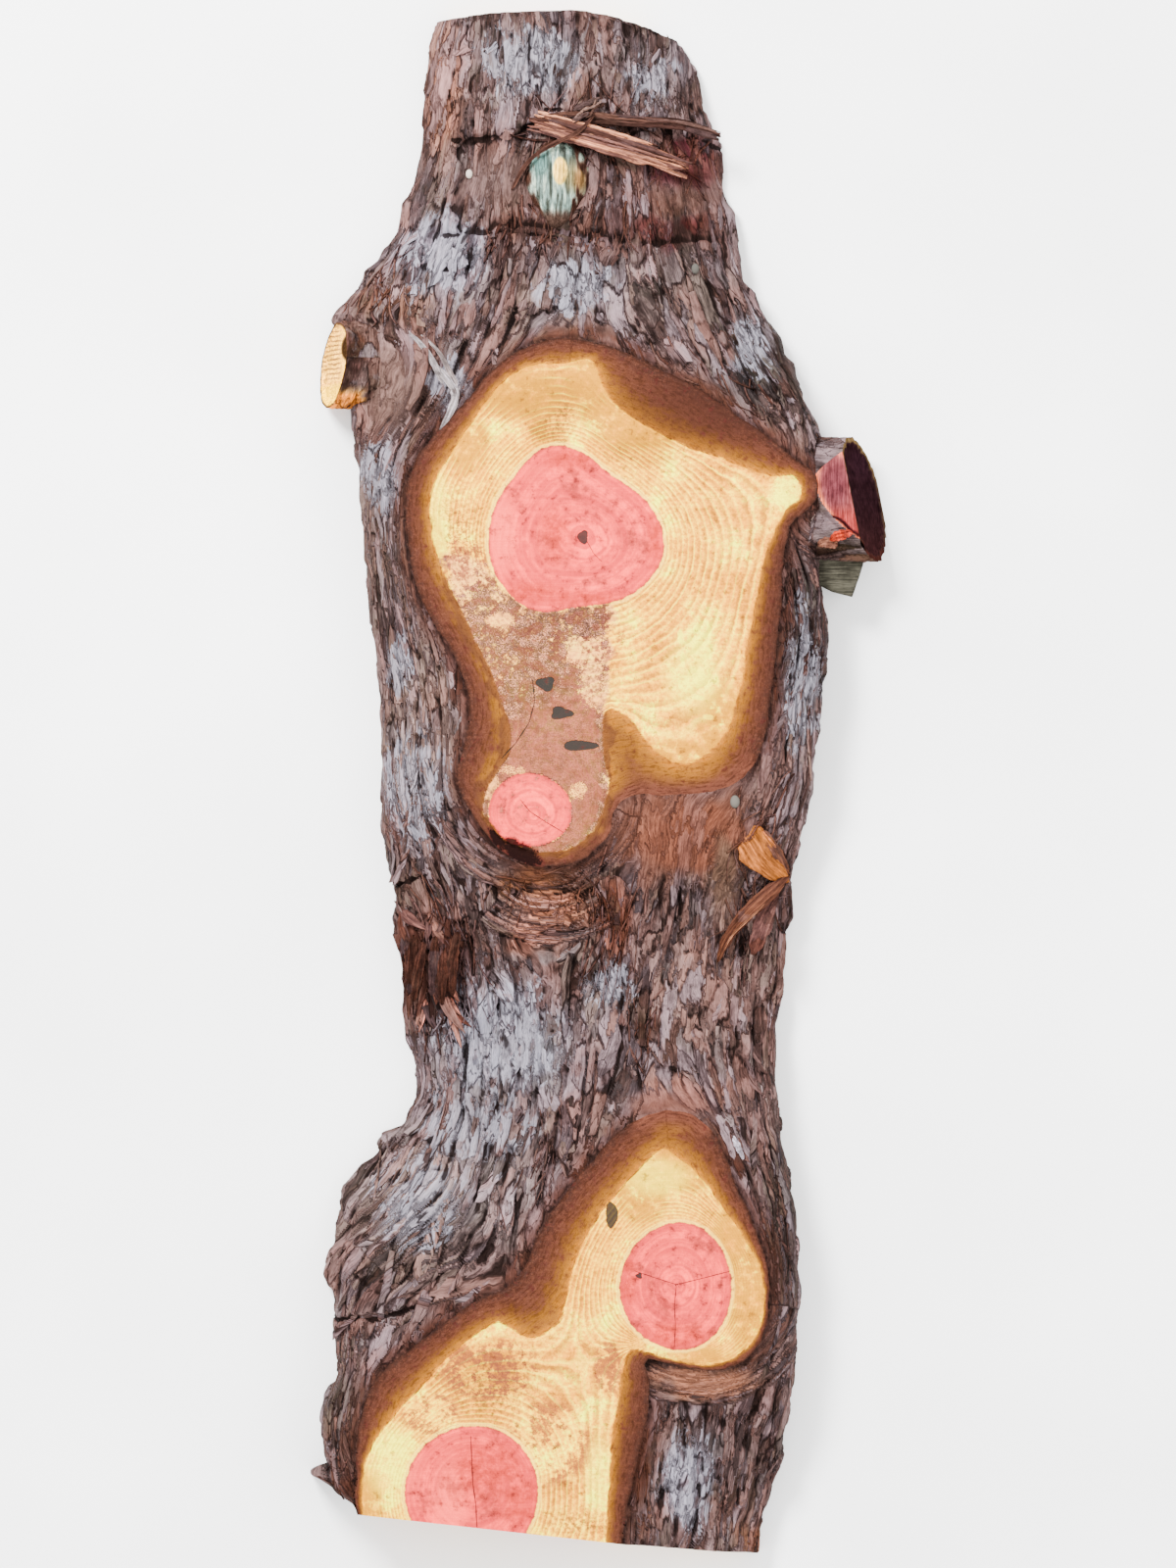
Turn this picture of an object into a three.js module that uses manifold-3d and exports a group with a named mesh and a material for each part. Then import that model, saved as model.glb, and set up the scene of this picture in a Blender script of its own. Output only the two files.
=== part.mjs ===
// A live-edge slab of juniper, sawn from the outside of a knotty log with its bark on.
//
// Two parallel saw cuts made it. The back cut is one flat face. The front cut only
// touched the log where branch collars stood proud, so it opened two flat windows
// of wood in the bark and took the top off a branch stub. Everything else on the
// front is bark, which rolls down to the back along both live edges.
//
// The slab lies on its back: +Z is up, +Y runs along the grain to the narrow end,
// and the origin is the middle of the back. Units are millimetres.
import * as THREE from "three";
import { mergeVertices } from "three/addons/utils/BufferGeometryUtils.js";
import Module from "manifold-3d";

const wasm = await Module();
wasm.setup();

// Driving dimensions
const LENGTH = 1200; // between the two end cuts
const THICKNESS = 68; // between the back cut and the front cut
const EDGE_ROUND = 84; // how far in from a live edge the bark keeps rising
const RIM_ROUND = 22; // the same where a window comes close to the edge
const COLLAR_SLOPE = 0.42; // fall of the bark away from a window's rim
const STRIP_COUNT = 17; // strips of bark side by side
const STRIP_WIDTH = 15; // of a strip that has room; crowded strips are narrower and flatter
const STRIP_LENGTH = 72; // between two breaks of a strip
const RELIEF = 6; // from a furrow to the crown of the tallest strip
const SWELL = 3; // slow rise and fall of the log's surface
const MARGIN = 0.03; // share of the grain outside the first and last strip
const LATHS = 44; // loose strips that stand up at one end
const SKIRT = 20; // log below the back cut, which the saw takes off

// Mesh: rows along the slab, and the columns' distances from a live edge where they would
// otherwise crowd
const ROWS = 84;
const EDGE_STEPS = [0, 1.2, 4.5, 9, 13.5];

// The plan is sketched on a square grid, x to the right and y down, that LENGTH sets the
// pitch of. These are its first and last lines, and its middle.
const SKETCH = { top: 11, foot: 1589, middle: [610.8, 799.5] };
const PITCH = LENGTH / (SKETCH.foot - SKETCH.top);

const TOP_CUT = [
  [442, 16], [470, 15], [500, 12], [540, 11], [590, 10], [620, 14], [650, 21], [676, 27],
];
const FOOT_CUT = [[366, 1543], [777, 1589]];
const LEFT_EDGE = [
  [442, 16], [434, 40], [430, 80], [427, 120], [426, 140], [422, 172], [414, 190], [405, 203],
  [402, 232], [394, 245], [386, 255], [383, 262], [371, 272], [363, 286], [352, 301],
  [340, 315], [336, 324], [346, 334], [352, 380], [357, 442], [362, 470], [363, 500],
  [368, 545], [369, 580], [373, 620], [378, 660], [383, 695], [385, 760], [385, 850],
  [391, 872], [398, 905], [400, 940], [396, 955], [405, 975], [410, 1000], [408, 1030],
  [409, 1060], [417, 1082], [421, 1104], [422, 1122], [414, 1134], [407, 1151],
  [384, 1159], [379, 1183], [365, 1192], [354, 1207], [345, 1217], [340, 1250],
  [337, 1272], [330, 1300], [336, 1320], [335, 1355], [341, 1400], [337, 1414],
  [326, 1426], [323, 1450], [325, 1488], [328, 1499], [315, 1508], [332, 1520],
  [347, 1534], [366, 1543],
];
const RIGHT_EDGE = [
  [676, 27], [691, 33], [700, 42], [708, 54], [715, 70], [719, 86], [723, 105], [730, 125],
  [739, 140], [740, 170], [742, 188], [746, 202], [753, 212], [755, 235], [759, 262],
  [763, 284], [774, 295], [778, 310], [787, 326], [798, 341], [803, 357], [819, 388],
  [828, 412], [837, 428], [842, 450], [848, 500], [843, 560], [843, 600], [848, 630],
  [849, 670], [847, 685], [840, 710], [838, 750], [835, 790], [833, 810], [825, 840],
  [821, 862], [815, 882], [810, 905], [809, 940], [805, 975], [802, 1000], [797, 1030],
  [795, 1080], [794, 1102], [799, 1140], [802, 1170], [810, 1205], [815, 1235],
  [818, 1275], [817, 1300], [820, 1326], [817, 1352], [816, 1390], [813, 1420],
  [810, 1445], [803, 1468], [798, 1500], [791, 1530], [783, 1548], [777, 1566], [777, 1589],
];

// The two windows: where the front cut runs through bark and wood
const UPPER_WINDOW = [
  [575, 345], [612, 352], [656, 368], [689, 386], [718, 402], [754, 426], [786, 450],
  [812, 470], [832, 484], [834, 506], [822, 522], [806, 532], [800, 560], [797, 600],
  [795, 640], [789, 680], [785, 720], [779, 760], [765, 790], [735, 806], [690, 812],
  [650, 810], [628, 820], [622, 850], [606, 871], [577, 884], [545, 886], [518, 874],
  [500, 856], [486, 838], [472, 815], [464, 795], [474, 760], [481, 730], [477, 700],
  [463, 668], [446, 640], [430, 612], [420, 580], [415, 545], [414, 510], [420, 478],
  [436, 454], [458, 430], [480, 404], [502, 380], [524, 363], [550, 350],
];
const LOWER_WINDOW = [
  [672, 1131], [700, 1133], [718, 1143], [735, 1164], [746, 1196], [759, 1227],
  [775, 1262], [784, 1293], [785, 1326], [779, 1362], [765, 1383], [741, 1395],
  [713, 1397], [679, 1389], [656, 1383], [664, 1412], [661, 1444], [653, 1472],
  [648, 1500], [640, 1530], [634, 1572], [630, 1640], [369, 1640], [366, 1542],
  [362, 1525], [365, 1500], [365, 1465], [370, 1437], [380, 1408], [403, 1386],
  [431, 1365], [462, 1342], [486, 1325], [520, 1312], [537, 1293], [548, 1262],
  [565, 1231], [586, 1203], [610, 1177], [634, 1149],
];

// Height of the bark's crown along the slab, as [sketch line, height]
const CROWN = [
  [11, 49], [130, 52], [260, 54], [360, 58], [700, 60], [900, 57], [1100, 54],
  [1250, 57], [1589, 56],
];

// Swellings over buried branches, as centre, half-axes and height; and two places where
// the bark is torn away, as outline and depth
const BOSSES = [
  { at: [388, 385], half: [60, 78], rise: 14 },
  { at: [826, 500], half: [42, 74], rise: 12 },
  { at: [555, 936], half: [50, 44], rise: 9 },
  { at: [690, 836], half: [112, 90], rise: 12 },
  { at: [400, 1250], half: [70, 110], rise: 7 },
  { at: [760, 1290], half: [40, 190], rise: 6 },
];
const TORN = [
  {
    outline: [
      [462, 140], [500, 137], [545, 126], [600, 118], [690, 124], [742, 142], [746, 205],
      [740, 246], [650, 252], [600, 243], [540, 236], [470, 238], [455, 215], [468, 180],
    ],
    depth: 7,
  },
  {
    outline: [[392, 938], [440, 931], [478, 936], [486, 990], [480, 1040], [436, 1048], [404, 1030]],
    depth: 5.5,
  },
];

// What the bark's fibres flow round besides the windows, as centre and radius
const FLOW_ROUND = [
  { at: [366, 385], radius: 50 },
  { at: [856, 512], radius: 62 },
  { at: [570, 180], radius: 28 },
  { at: [555, 936], radius: 36 },
];

// Small helpers

const clamp01 = (t) => Math.min(1, Math.max(0, t));
const smooth = (low, high, t) => {
  const s = clamp01((t - low) / (high - low));
  return s * s * (3 - 2 * s);
};
const planX = (sketchX) => (sketchX - SKETCH.middle[0]) * PITCH;
const planY = (sketchY) => (SKETCH.middle[1] - sketchY) * PITCH;

// Where a polyline is at a value of one coordinate, 0 for x or 1 for y.
function along(line, key, value) {
  const other = 1 - key;
  const last = line.length - 1;
  const i = Math.max(1, line.findIndex((p, n) => n === last || p[key] >= value));
  const [a, b] = [line[i - 1], line[i]];
  return a[other] + ((b[other] - a[other]) * (value - a[key])) / (b[key] - a[key]);
}

function toSegment(x, y, a, b) {
  const [ex, ey] = [b[0] - a[0], b[1] - a[1]];
  const t = clamp01(((x - a[0]) * ex + (y - a[1]) * ey) / (ex * ex + ey * ey));
  return Math.hypot(x - a[0] - t * ex, y - a[1] - t * ey);
}

function toLine(x, y, line) {
  let nearest = Infinity;
  for (let i = 1; i < line.length; i++) {
    nearest = Math.min(nearest, toSegment(x, y, line[i - 1], line[i]));
  }
  return nearest;
}

// Distance to a closed outline, positive inside it.
function inside(x, y, outline) {
  let within = false;
  for (let i = 0, j = outline.length - 1; i < outline.length; j = i++) {
    const [[xi, yi], [xj, yj]] = [outline[i], outline[j]];
    if (yi > y !== yj > y && x < xi + ((xj - xi) * (y - yi)) / (yj - yi)) within = !within;
  }
  return toLine(x, y, [...outline, outline[0]]) * (within ? 1 : -1);
}

// A repeatable random number from 0 to 1 for a pair of whole numbers, and noise from it.
function chance(i, j, seed) {
  let h = Math.imul(i, 374761393) ^ Math.imul(j, 668265263) ^ Math.imul(seed, 974634777);
  h = Math.imul(h ^ (h >>> 13), 1274126177);
  return ((h ^ (h >>> 16)) >>> 0) / 4294967296;
}

function noise(x, y, seed) {
  const [i, j] = [Math.floor(x), Math.floor(y)];
  const [u, v] = [smooth(0, 1, x - i), smooth(0, 1, y - j)];
  const low = chance(i, j, seed) * (1 - u) + chance(i + 1, j, seed) * u;
  const high = chance(i, j + 1, seed) * (1 - u) + chance(i + 1, j + 1, seed) * u;
  return low * (1 - v) + high * v;
}

// The grain: 0 on the left live edge and 1 on the right one, with lines of equal value
// that part round the windows and knots as water does round stones. It is the steady
// heat flow across the plan, in which windows and knots conduct better than bark.
function grainField() {
  const cell = 10;
  const [columns, rows] = [64, 161];
  const [x0, y0] = [290, 0];
  const fixed = new Float32Array(columns * rows).fill(-1);
  const flow = new Float32Array(columns * rows);
  const conducts = new Float32Array(columns * rows).fill(1);
  for (let r = 0; r < rows; r++) {
    const y = y0 + r * cell;
    const left = along(LEFT_EDGE, 1, Math.min(1542, Math.max(16, y)));
    const right = along(RIGHT_EDGE, 1, Math.min(1589, Math.max(110, y)));
    for (let c = 0; c < columns; c++) {
      const x = x0 + c * cell;
      const n = r * columns + c;
      flow[n] = clamp01((x - left) / (right - left));
      if (x <= left || x >= right) fixed[n] = flow[n];
      const free =
        inside(x, y, UPPER_WINDOW) > 0 ||
        inside(x, y, LOWER_WINDOW) > 0 ||
        FLOW_ROUND.some(({ at, radius }) => Math.hypot(x - at[0], y - at[1]) < radius);
      if (free) conducts[n] = 5;
    }
  }
  for (let step = 0; step < 700; step++) {
    for (let r = 0; r < rows; r++) {
      for (let c = 1; c < columns - 1; c++) {
        const n = r * columns + c;
        if (fixed[n] >= 0) continue;
        let [sum, weight] = [0, 0];
        for (const m of [n - 1, n + 1, r > 0 ? n - columns : n, r < rows - 1 ? n + columns : n]) {
          const k = (2 * conducts[n] * conducts[m]) / (conducts[n] + conducts[m]);
          sum += k * flow[m];
          weight += k;
        }
        flow[n] += 1.8 * (sum / weight - flow[n]);
      }
    }
  }
  return (x, y) => {
    const gx = Math.min(columns - 1.001, Math.max(0, (x - x0) / cell));
    const gy = Math.min(rows - 1.001, Math.max(0, (y - y0) / cell));
    const [c, r] = [Math.floor(gx), Math.floor(gy)];
    const [u, v, n] = [gx - c, gy - r, r * columns + c];
    const low = flow[n] * (1 - u) + flow[n + 1] * u;
    const high = flow[n + columns] * (1 - u) + flow[n + columns + 1] * u;
    const value = low * (1 - v) + high * v;
    return value + 0.14 * value * (1 - value) * (noise(x / 45, y / 150, 7) - 0.5);
  };
}

const grain = grainField();

// Relief of the bark from 0 in a furrow to 1 on the tallest crown. A strip is a row of
// plates, each of which thickens down its length to a broken end.
function strips(value, down) {
  const a = ((value - MARGIN) / (1 - 2 * MARGIN)) * STRIP_COUNT;
  const i = Math.floor(a);
  const b = down / STRIP_LENGTH + 7 * chance(i, 0, 3);
  const j = Math.floor(b);
  const tall = 0.3 + 0.7 * chance(i, j, 5);
  const beside = 2 * Math.min(a - i, i + 1 - a);
  const length = Math.min(0.25 + 0.9 * (b - j), 5.5 * (j + 1 - b));
  return tall * beside * Math.min(1, length);
}

// Where a line across the slab has a value of the grain.
function atGrain(value, y) {
  let [low, high] = [along(LEFT_EDGE, 1, y), along(RIGHT_EDGE, 1, y)];
  for (let step = 0; step < 14; step++) {
    const middle = (low + high) / 2;
    if (grain(middle, y) < value) low = middle;
    else high = middle;
  }
  return low;
}

// The log

const quarter = (t) => Math.sqrt(1 - (1 - clamp01(t)) ** 2);

// Height of the smooth log over a sketch point, d millimetres in from the live edge.
function logHeight(x, y, d) {
  const bosses = BOSSES.map(({ at, half, rise }) => {
    const r = Math.hypot((x - at[0]) / half[0], (y - at[1]) / half[1]);
    return rise * (1 - smooth(0.2, 1, r));
  });
  const torn = TORN.map(({ outline, depth }) => depth * smooth(-1, 5, inside(x, y, outline)));
  const swell = SWELL * (2 * noise(x / 95, y / 150, 5) - 1);
  const crown = along(CROWN, 0, y) + swell + Math.max(...bosses) - Math.max(...torn);
  const plain = crown * quarter(d / EDGE_ROUND);
  const window = Math.max(inside(x, y, UPPER_WINDOW), inside(x, y, LOWER_WINDOW)) * PITCH;
  const rise = window > 0 ? 1 + Math.min(10, window) : COLLAR_SLOPE * window;
  const collar = Math.min(THICKNESS + rise, (THICKNESS + 12) * quarter(d / RIM_ROUND));
  return { height: Math.max(plain, collar), window };
}

// A point of the plan, u of the way across and v of the way down its four sides.
function planPoint(u, v) {
  const yl = LEFT_EDGE[0][1] + (FOOT_CUT[0][1] - LEFT_EDGE[0][1]) * v;
  const yr = RIGHT_EDGE[0][1] + (FOOT_CUT[1][1] - RIGHT_EDGE[0][1]) * v;
  const [xl, xr] = [along(LEFT_EDGE, 1, yl), along(RIGHT_EDGE, 1, yr)];
  const [start, end] = [TOP_CUT[0], TOP_CUT.at(-1)];
  const topX = start[0] + (end[0] - start[0]) * u;
  const bow = along(TOP_CUT, 0, topX) - (start[1] + (end[1] - start[1]) * u);
  return [xl + (xr - xl) * u, yl + (yr - yl) * u + bow * (1 - v) ** 3];
}

// How far across a row its columns lie: one on each furrow and each crown of the strips,
// and more where the bark turns down at a live edge.
function rowColumns(v) {
  const marks = 240;
  const seen = [[0, 0]];
  for (let k = 1; k <= marks; k++) {
    const value = grain(...planPoint(k / marks, v));
    seen.push([Math.max(seen[k - 1][0] + 1e-6, Math.min(value, 0.999)), k / marks]);
  }
  seen[marks][0] = 1;
  const [left, right] = [planPoint(0, v), planPoint(1, v)];
  const width = Math.hypot(right[0] - left[0], right[1] - left[1]) * PITCH;
  const extra = 3;
  const last = 2 * (STRIP_COUNT + extra);
  const columns = [];
  for (let c = 0; c <= last; c++) {
    const value = MARGIN + ((1 - 2 * MARGIN) * (c - extra)) / (2 * STRIP_COUNT);
    const nearest = (n) => EDGE_STEPS[n] ?? 0;
    const low = nearest(c) / width;
    const high = 1 - nearest(last - c) / width;
    const onEdge = c < extra ? low : high;
    const u = along(seen, 0, clamp01(value));
    columns.push(c < extra || c > last - extra ? onEdge : Math.min(high, Math.max(low, u)));
  }
  return columns;
}

// Puts a sketch point on the bark, pushed out of the log's smooth surface.
function onBark(x, y, push) {
  const toLeft = toLine(x, y, LEFT_EDGE) * PITCH;
  const toRight = toLine(x, y, RIGHT_EDGE) * PITCH;
  const d = Math.min(toLeft, toRight);
  const side = toLeft < toRight ? -1 : 1;
  const lean = 1 - clamp01(d / EDGE_ROUND);
  const { height, window } = logHeight(x, y, d);
  const wide = (2 * PITCH) / (STRIP_COUNT * Math.max(1e-4, grain(x + 1, y) - grain(x - 1, y)));
  const room = clamp01(wide / STRIP_WIDTH) * (0.3 + 0.7 * smooth(0, 14, -window));
  const relief = RELIEF * room * (strips(grain(x, y), y * PITCH) - 0.4);
  const out = relief + push;
  const up = d < 0.01 ? 0 : height + Math.sqrt(1 - lean * lean) * out;
  return [planX(x) + side * lean * out, planY(y), up];
}

// The log as one closed mesh: a grid whose columns follow the grain.
function buildLog() {
  const points = [];
  for (let r = 0; r <= ROWS; r++) {
    const v = r / ROWS;
    points.push(...rowColumns(v).map((u) => onBark(...planPoint(u, v), 0)));
  }
  return closeGrid(points, ROWS + 1, points.length / (ROWS + 1));
}

// Closes a grid of surface points with walls down to the skirt and a floor.
function closeGrid(points, rows, columns) {
  const rim = [];
  for (let c = 0; c < columns - 1; c++) rim.push(c);
  for (let r = 0; r < rows - 1; r++) rim.push(r * columns + columns - 1);
  for (let c = columns - 1; c > 0; c--) rim.push((rows - 1) * columns + c);
  for (let r = rows - 1; r > 0; r--) rim.push(r * columns);
  const first = points.length;
  const lower = rim.map((n) => [points[n][0], points[n][1], -SKIRT]);
  const faces = [];
  for (let r = 0; r < rows - 1; r++) {
    for (let c = 0; c < columns - 1; c++) {
      const n = r * columns + c;
      faces.push([n, n + columns, n + 1], [n + 1, n + columns, n + columns + 1]);
    }
  }
  rim.forEach((n, i) => {
    const m = (i + 1) % rim.length;
    faces.push([n, rim[m], first + i], [rim[m], first + m, first + i]);
    faces.push([first + i, first + m, first + rim.length]);
  });
  return toSolid([...points, ...lower, [0, 0, -SKIRT]], faces);
}

// Solids from points and faces, and from three.js shapes

function toSolid(points, faces) {
  return new wasm.Manifold(
    new wasm.Mesh({
      numProp: 3,
      vertProperties: new Float32Array(points.flat()),
      triVerts: new Uint32Array(faces.flat()),
    }),
  );
}

function shapeToSolid(shape) {
  shape.deleteAttribute("normal");
  shape.deleteAttribute("uv");
  const merged = mergeVertices(shape);
  return new wasm.Manifold(
    new wasm.Mesh({
      numProp: 3,
      vertProperties: merged.getAttribute("position").array,
      triVerts: new Uint32Array(merged.index.array),
    }),
  );
}

// A closed tube through rings of points, each ring running anticlockwise seen from the
// end of the tube.
function loft(rings) {
  const n = rings[0].length;
  const points = rings.flat();
  const middle = (ring) => ring.reduce((s, p) => s.map((v, k) => v + p[k] / n), [0, 0, 0]);
  points.push(middle(rings[0]), middle(rings.at(-1)));
  const [start, end] = [points.length - 2, points.length - 1];
  const faces = [];
  for (let i = 0; i < n; i++) {
    const j = (i + 1) % n;
    for (let r = 0; r < rings.length - 1; r++) {
      const [a, b] = [r * n, (r + 1) * n];
      faces.push([a + i, a + j, b + i], [a + j, b + j, b + i]);
    }
    const z = (rings.length - 1) * n;
    faces.push([start, j, i], [end, z + i, z + j]);
  }
  return toSolid(points, faces);
}

// Branch stubs

// A stub that grows along X from the log: its rings get smaller outwards, its bark is
// furrowed, and its end is a leaning saw cut.
function stub({ from, to, axis, high, rise, wide, tall, lean, skew, flare }) {
  const sides = 26;
  const stations = 6;
  const direction = Math.sign(to - from);
  const rings = [];
  for (let s = 0; s <= stations; s++) {
    const t = s / stations;
    const ring = [];
    for (let i = 0; i < sides; i++) {
      const a = (direction * 2 * Math.PI * i) / sides;
      const bark = 1 + 0.05 * (chance(i, s, 11) - 0.5) + flare * (1 - t) ** 2;
      const y = planY(axis) + wide * bark * Math.cos(a);
      const z = high - rise * (1 - t) + tall * bark * Math.sin(a);
      const cut = t * (lean * (THICKNESS - z) + skew * (y - planY(axis)));
      ring.push([planX(from) + (planX(to) - planX(from)) * t + direction * cut, y, z]);
    }
    rings.push(ring);
  }
  return loft(rings);
}

const RIGHT_STUB = {
  from: 800, to: 868, axis: 509, high: 40, rise: 24, wide: 48, tall: 42, lean: 0.38, skew: -0.2, flare: 0.1,
};
const LEFT_STUB = {
  from: 400, to: 355, axis: 371, high: 33, rise: 0, wide: 34, tall: 32, lean: 0.34, skew: -0.12, flare: 0.2,
};

// The splinter left under the right stub where the branch broke off: an upright block of
// wood with its outer end cut square.
function splinter() {
  const outline = [[824, 566], [884, 566], [877, 590], [870, 609], [850, 604], [832, 594]];
  const level = (z, grow) =>
    outline.map(([x, y]) => [planX(855 + (x - 855) * grow), planY(585 + (y - 585) * grow), z]).reverse();
  return loft([level(6, 0.9), level(40, 1)]);
}

// Loose bark

// Sections of a ribbon, as shares of its half width and its thickness
const BROAD = [[-1, 0.1], [-0.5, -0.5], [0.5, -0.5], [1, 0.1], [0.45, 0.55], [-0.4, 0.6]];
const NARROW = [[-1, -0.3], [1, -0.4], [0.2, 0.6]];

// A ribbon of bark along stations of [sketch x, sketch y, height, width].
function ribbon({ stations, thick, section = BROAD, finer = 2 }) {
  const at = stations.map(([x, y, z]) => new THREE.Vector3(planX(x), planY(y), z));
  const line = new THREE.CatmullRomCurve3(at);
  const steps = (stations.length - 1) * finer;
  const rings = [];
  for (let s = 0; s <= steps; s++) {
    const t = s / steps;
    const centre = line.getPoint(t);
    const ahead = line.getTangent(t);
    const across = new THREE.Vector3(-ahead.y, ahead.x, 0).normalize();
    const k = t * (stations.length - 1);
    const i = Math.min(stations.length - 2, Math.floor(k));
    const half = (stations[i][3] + (stations[i + 1][3] - stations[i][3]) * (k - i)) / 2;
    rings.push(
      section.map(([w, h]) => [
        centre.x + across.x * w * half,
        centre.y + across.y * w * half,
        centre.z + h * thick,
      ]),
    );
  }
  return loft(rings);
}

// The torn strip above the top knot, the flap on the right edge, its loose tail, and the
// shreds in the torn hollow on the left edge
const RIBBONS = [
  {
    stations: [
      [538, 126, 44, 8], [560, 129, 50, 16], [600, 138, 56, 17],
      [640, 148, 58, 19], [676, 160, 56, 16], [704, 172, 47, 7],
    ],
    thick: 5,
  },
  { stations: [[552, 158, 42, 3], [575, 147, 50, 4], [605, 136, 56, 5], [632, 128, 47, 5]], thick: 3.5 },
  {
    stations: [[744, 832, 42, 6], [758, 848, 50, 20], [776, 868, 54, 22], [794, 887, 46, 14], [806, 899, 24, 8]],
    thick: 3.5,
  },
  {
    stations: [[806, 900, 22, 10], [790, 915, 44, 12], [766, 938, 55, 13], [748, 962, 57, 11], [738, 980, 50, 5]],
    thick: 4,
  },
];

function shreds() {
  const made = [];
  for (let i = 0; i < 7; i++) {
    const x = 412 + 9 * i + 6 * chance(i, 1, 21);
    const y = 945 + 22 * chance(i, 2, 21);
    const lean = 18 * (chance(i, 3, 21) - 0.6);
    const base = 20 + 33 * smooth(404, 450, x);
    const tip = [x + lean, y + 60, base + 4, 4];
    made.push({ stations: [[x, y, base, 5], [x + lean * 0.5, y + 28, base + 7, 8], tip], thick: 3.5 });
  }
  return made;
}

// Strips of bark along the grain, each with its root sunk in and its far end standing up
function laths() {
  const made = [];
  for (let n = 0; made.length < LATHS; n++) {
    const value = 0.1 + 0.8 * chance(n, 1, 41);
    const start = 160 + 1220 * chance(n, 2, 41);
    const length = ((45 + 45 * chance(n, 3, 41)) / PITCH) * (chance(n, 4, 41) < 0.5 ? -1 : 1);
    const width = 7 + 5 * chance(n, 5, 41);
    const lift = 3 + 3.5 * chance(n, 6, 41);
    const shape = [[0, -3.5, 0.6], [0.33, 0, 1], [0.7, 0.25 * lift, 0.9], [1, lift, 0.5]];
    const stations = shape.map(([t, up, share]) => {
      const y = start + length * t;
      const x = atGrain(value, y);
      return [x, y, onBark(x, y, up)[2], width * share];
    });
    const clear = stations.every(([x, y]) => {
      const openings = [UPPER_WINDOW, LOWER_WINDOW, ...TORN.map(({ outline }) => outline)];
      const edge = Math.min(toLine(x, y, LEFT_EDGE), toLine(x, y, RIGHT_EDGE));
      return edge > 34 && openings.every((outline) => inside(x, y, outline) < -16);
    });
    if (clear) made.push({ stations, thick: 3, section: NARROW, finer: 1 });
  }
  return made;
}

// A boss of broken wood where the top branch snapped off.
function topKnot() {
  const rings = [[34, 1.15], [48, 1], [56, 0.72], [57.5, 0.35]].map(([z, grow], level) => {
    const ring = [];
    for (let i = 0; i < 16; i++) {
      const a = (2 * Math.PI * i) / 16;
      const rough = 1 + 0.14 * (chance(i, level, 31) - 0.5);
      ring.push([
        planX(570) + 22 * grow * rough * Math.cos(a),
        planY(182) + 30 * grow * rough * Math.sin(a),
        z + 3 * (chance(i, level, 32) - 0.5),
      ]);
    }
    return ring;
  });
  return loft(rings);
}

// The space between the two saw cuts
function sawCuts() {
  const space = new THREE.BoxGeometry(LENGTH, 2 * LENGTH, THICKNESS);
  space.translate(0, 0, THICKNESS / 2);
  return shapeToSolid(space);
}

// The slab: log and stubs between the two saw cuts, then the loose bark
function buildSlab() {
  const branches = [stub(RIGHT_STUB), stub(LEFT_STUB), splinter(), topKnot()];
  const log = branches.reduce((all, branch) => all.add(branch), buildLog());
  const sawn = log.intersect(sawCuts());
  const loose = [...RIBBONS, ...shreds(), ...laths()];
  return filled(loose.reduce((all, piece) => all.add(ribbon(piece)), sawn));
}

// The largest closed surface of a solid, which leaves out sealed pockets inside it.
function filled(solid) {
  const surfaces = solid.decompose();
  return surfaces.reduce((best, surface) => (surface.volume() > best.volume() ? surface : best));
}

function toGeometry(made) {
  const mesh = made.getMesh();
  const positions = new Float32Array(mesh.numVert * 3);
  for (let i = 0; i < mesh.numVert; i++) {
    positions.set(mesh.vertProperties.subarray(i * mesh.numProp, i * mesh.numProp + 3), i * 3);
  }
  const geometry = new THREE.BufferGeometry();
  geometry.setAttribute("position", new THREE.BufferAttribute(positions, 3));
  geometry.setIndex(new THREE.BufferAttribute(mesh.triVerts, 1));
  geometry.computeVertexNormals();
  return geometry;
}

const bark = new THREE.MeshStandardMaterial({ color: 0x8a7672, roughness: 0.9, metalness: 0 });
const slab = new THREE.Mesh(toGeometry(buildSlab()), bark);
slab.name = "slab";

const group = new THREE.Group();
group.add(slab);

export default group;
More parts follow.
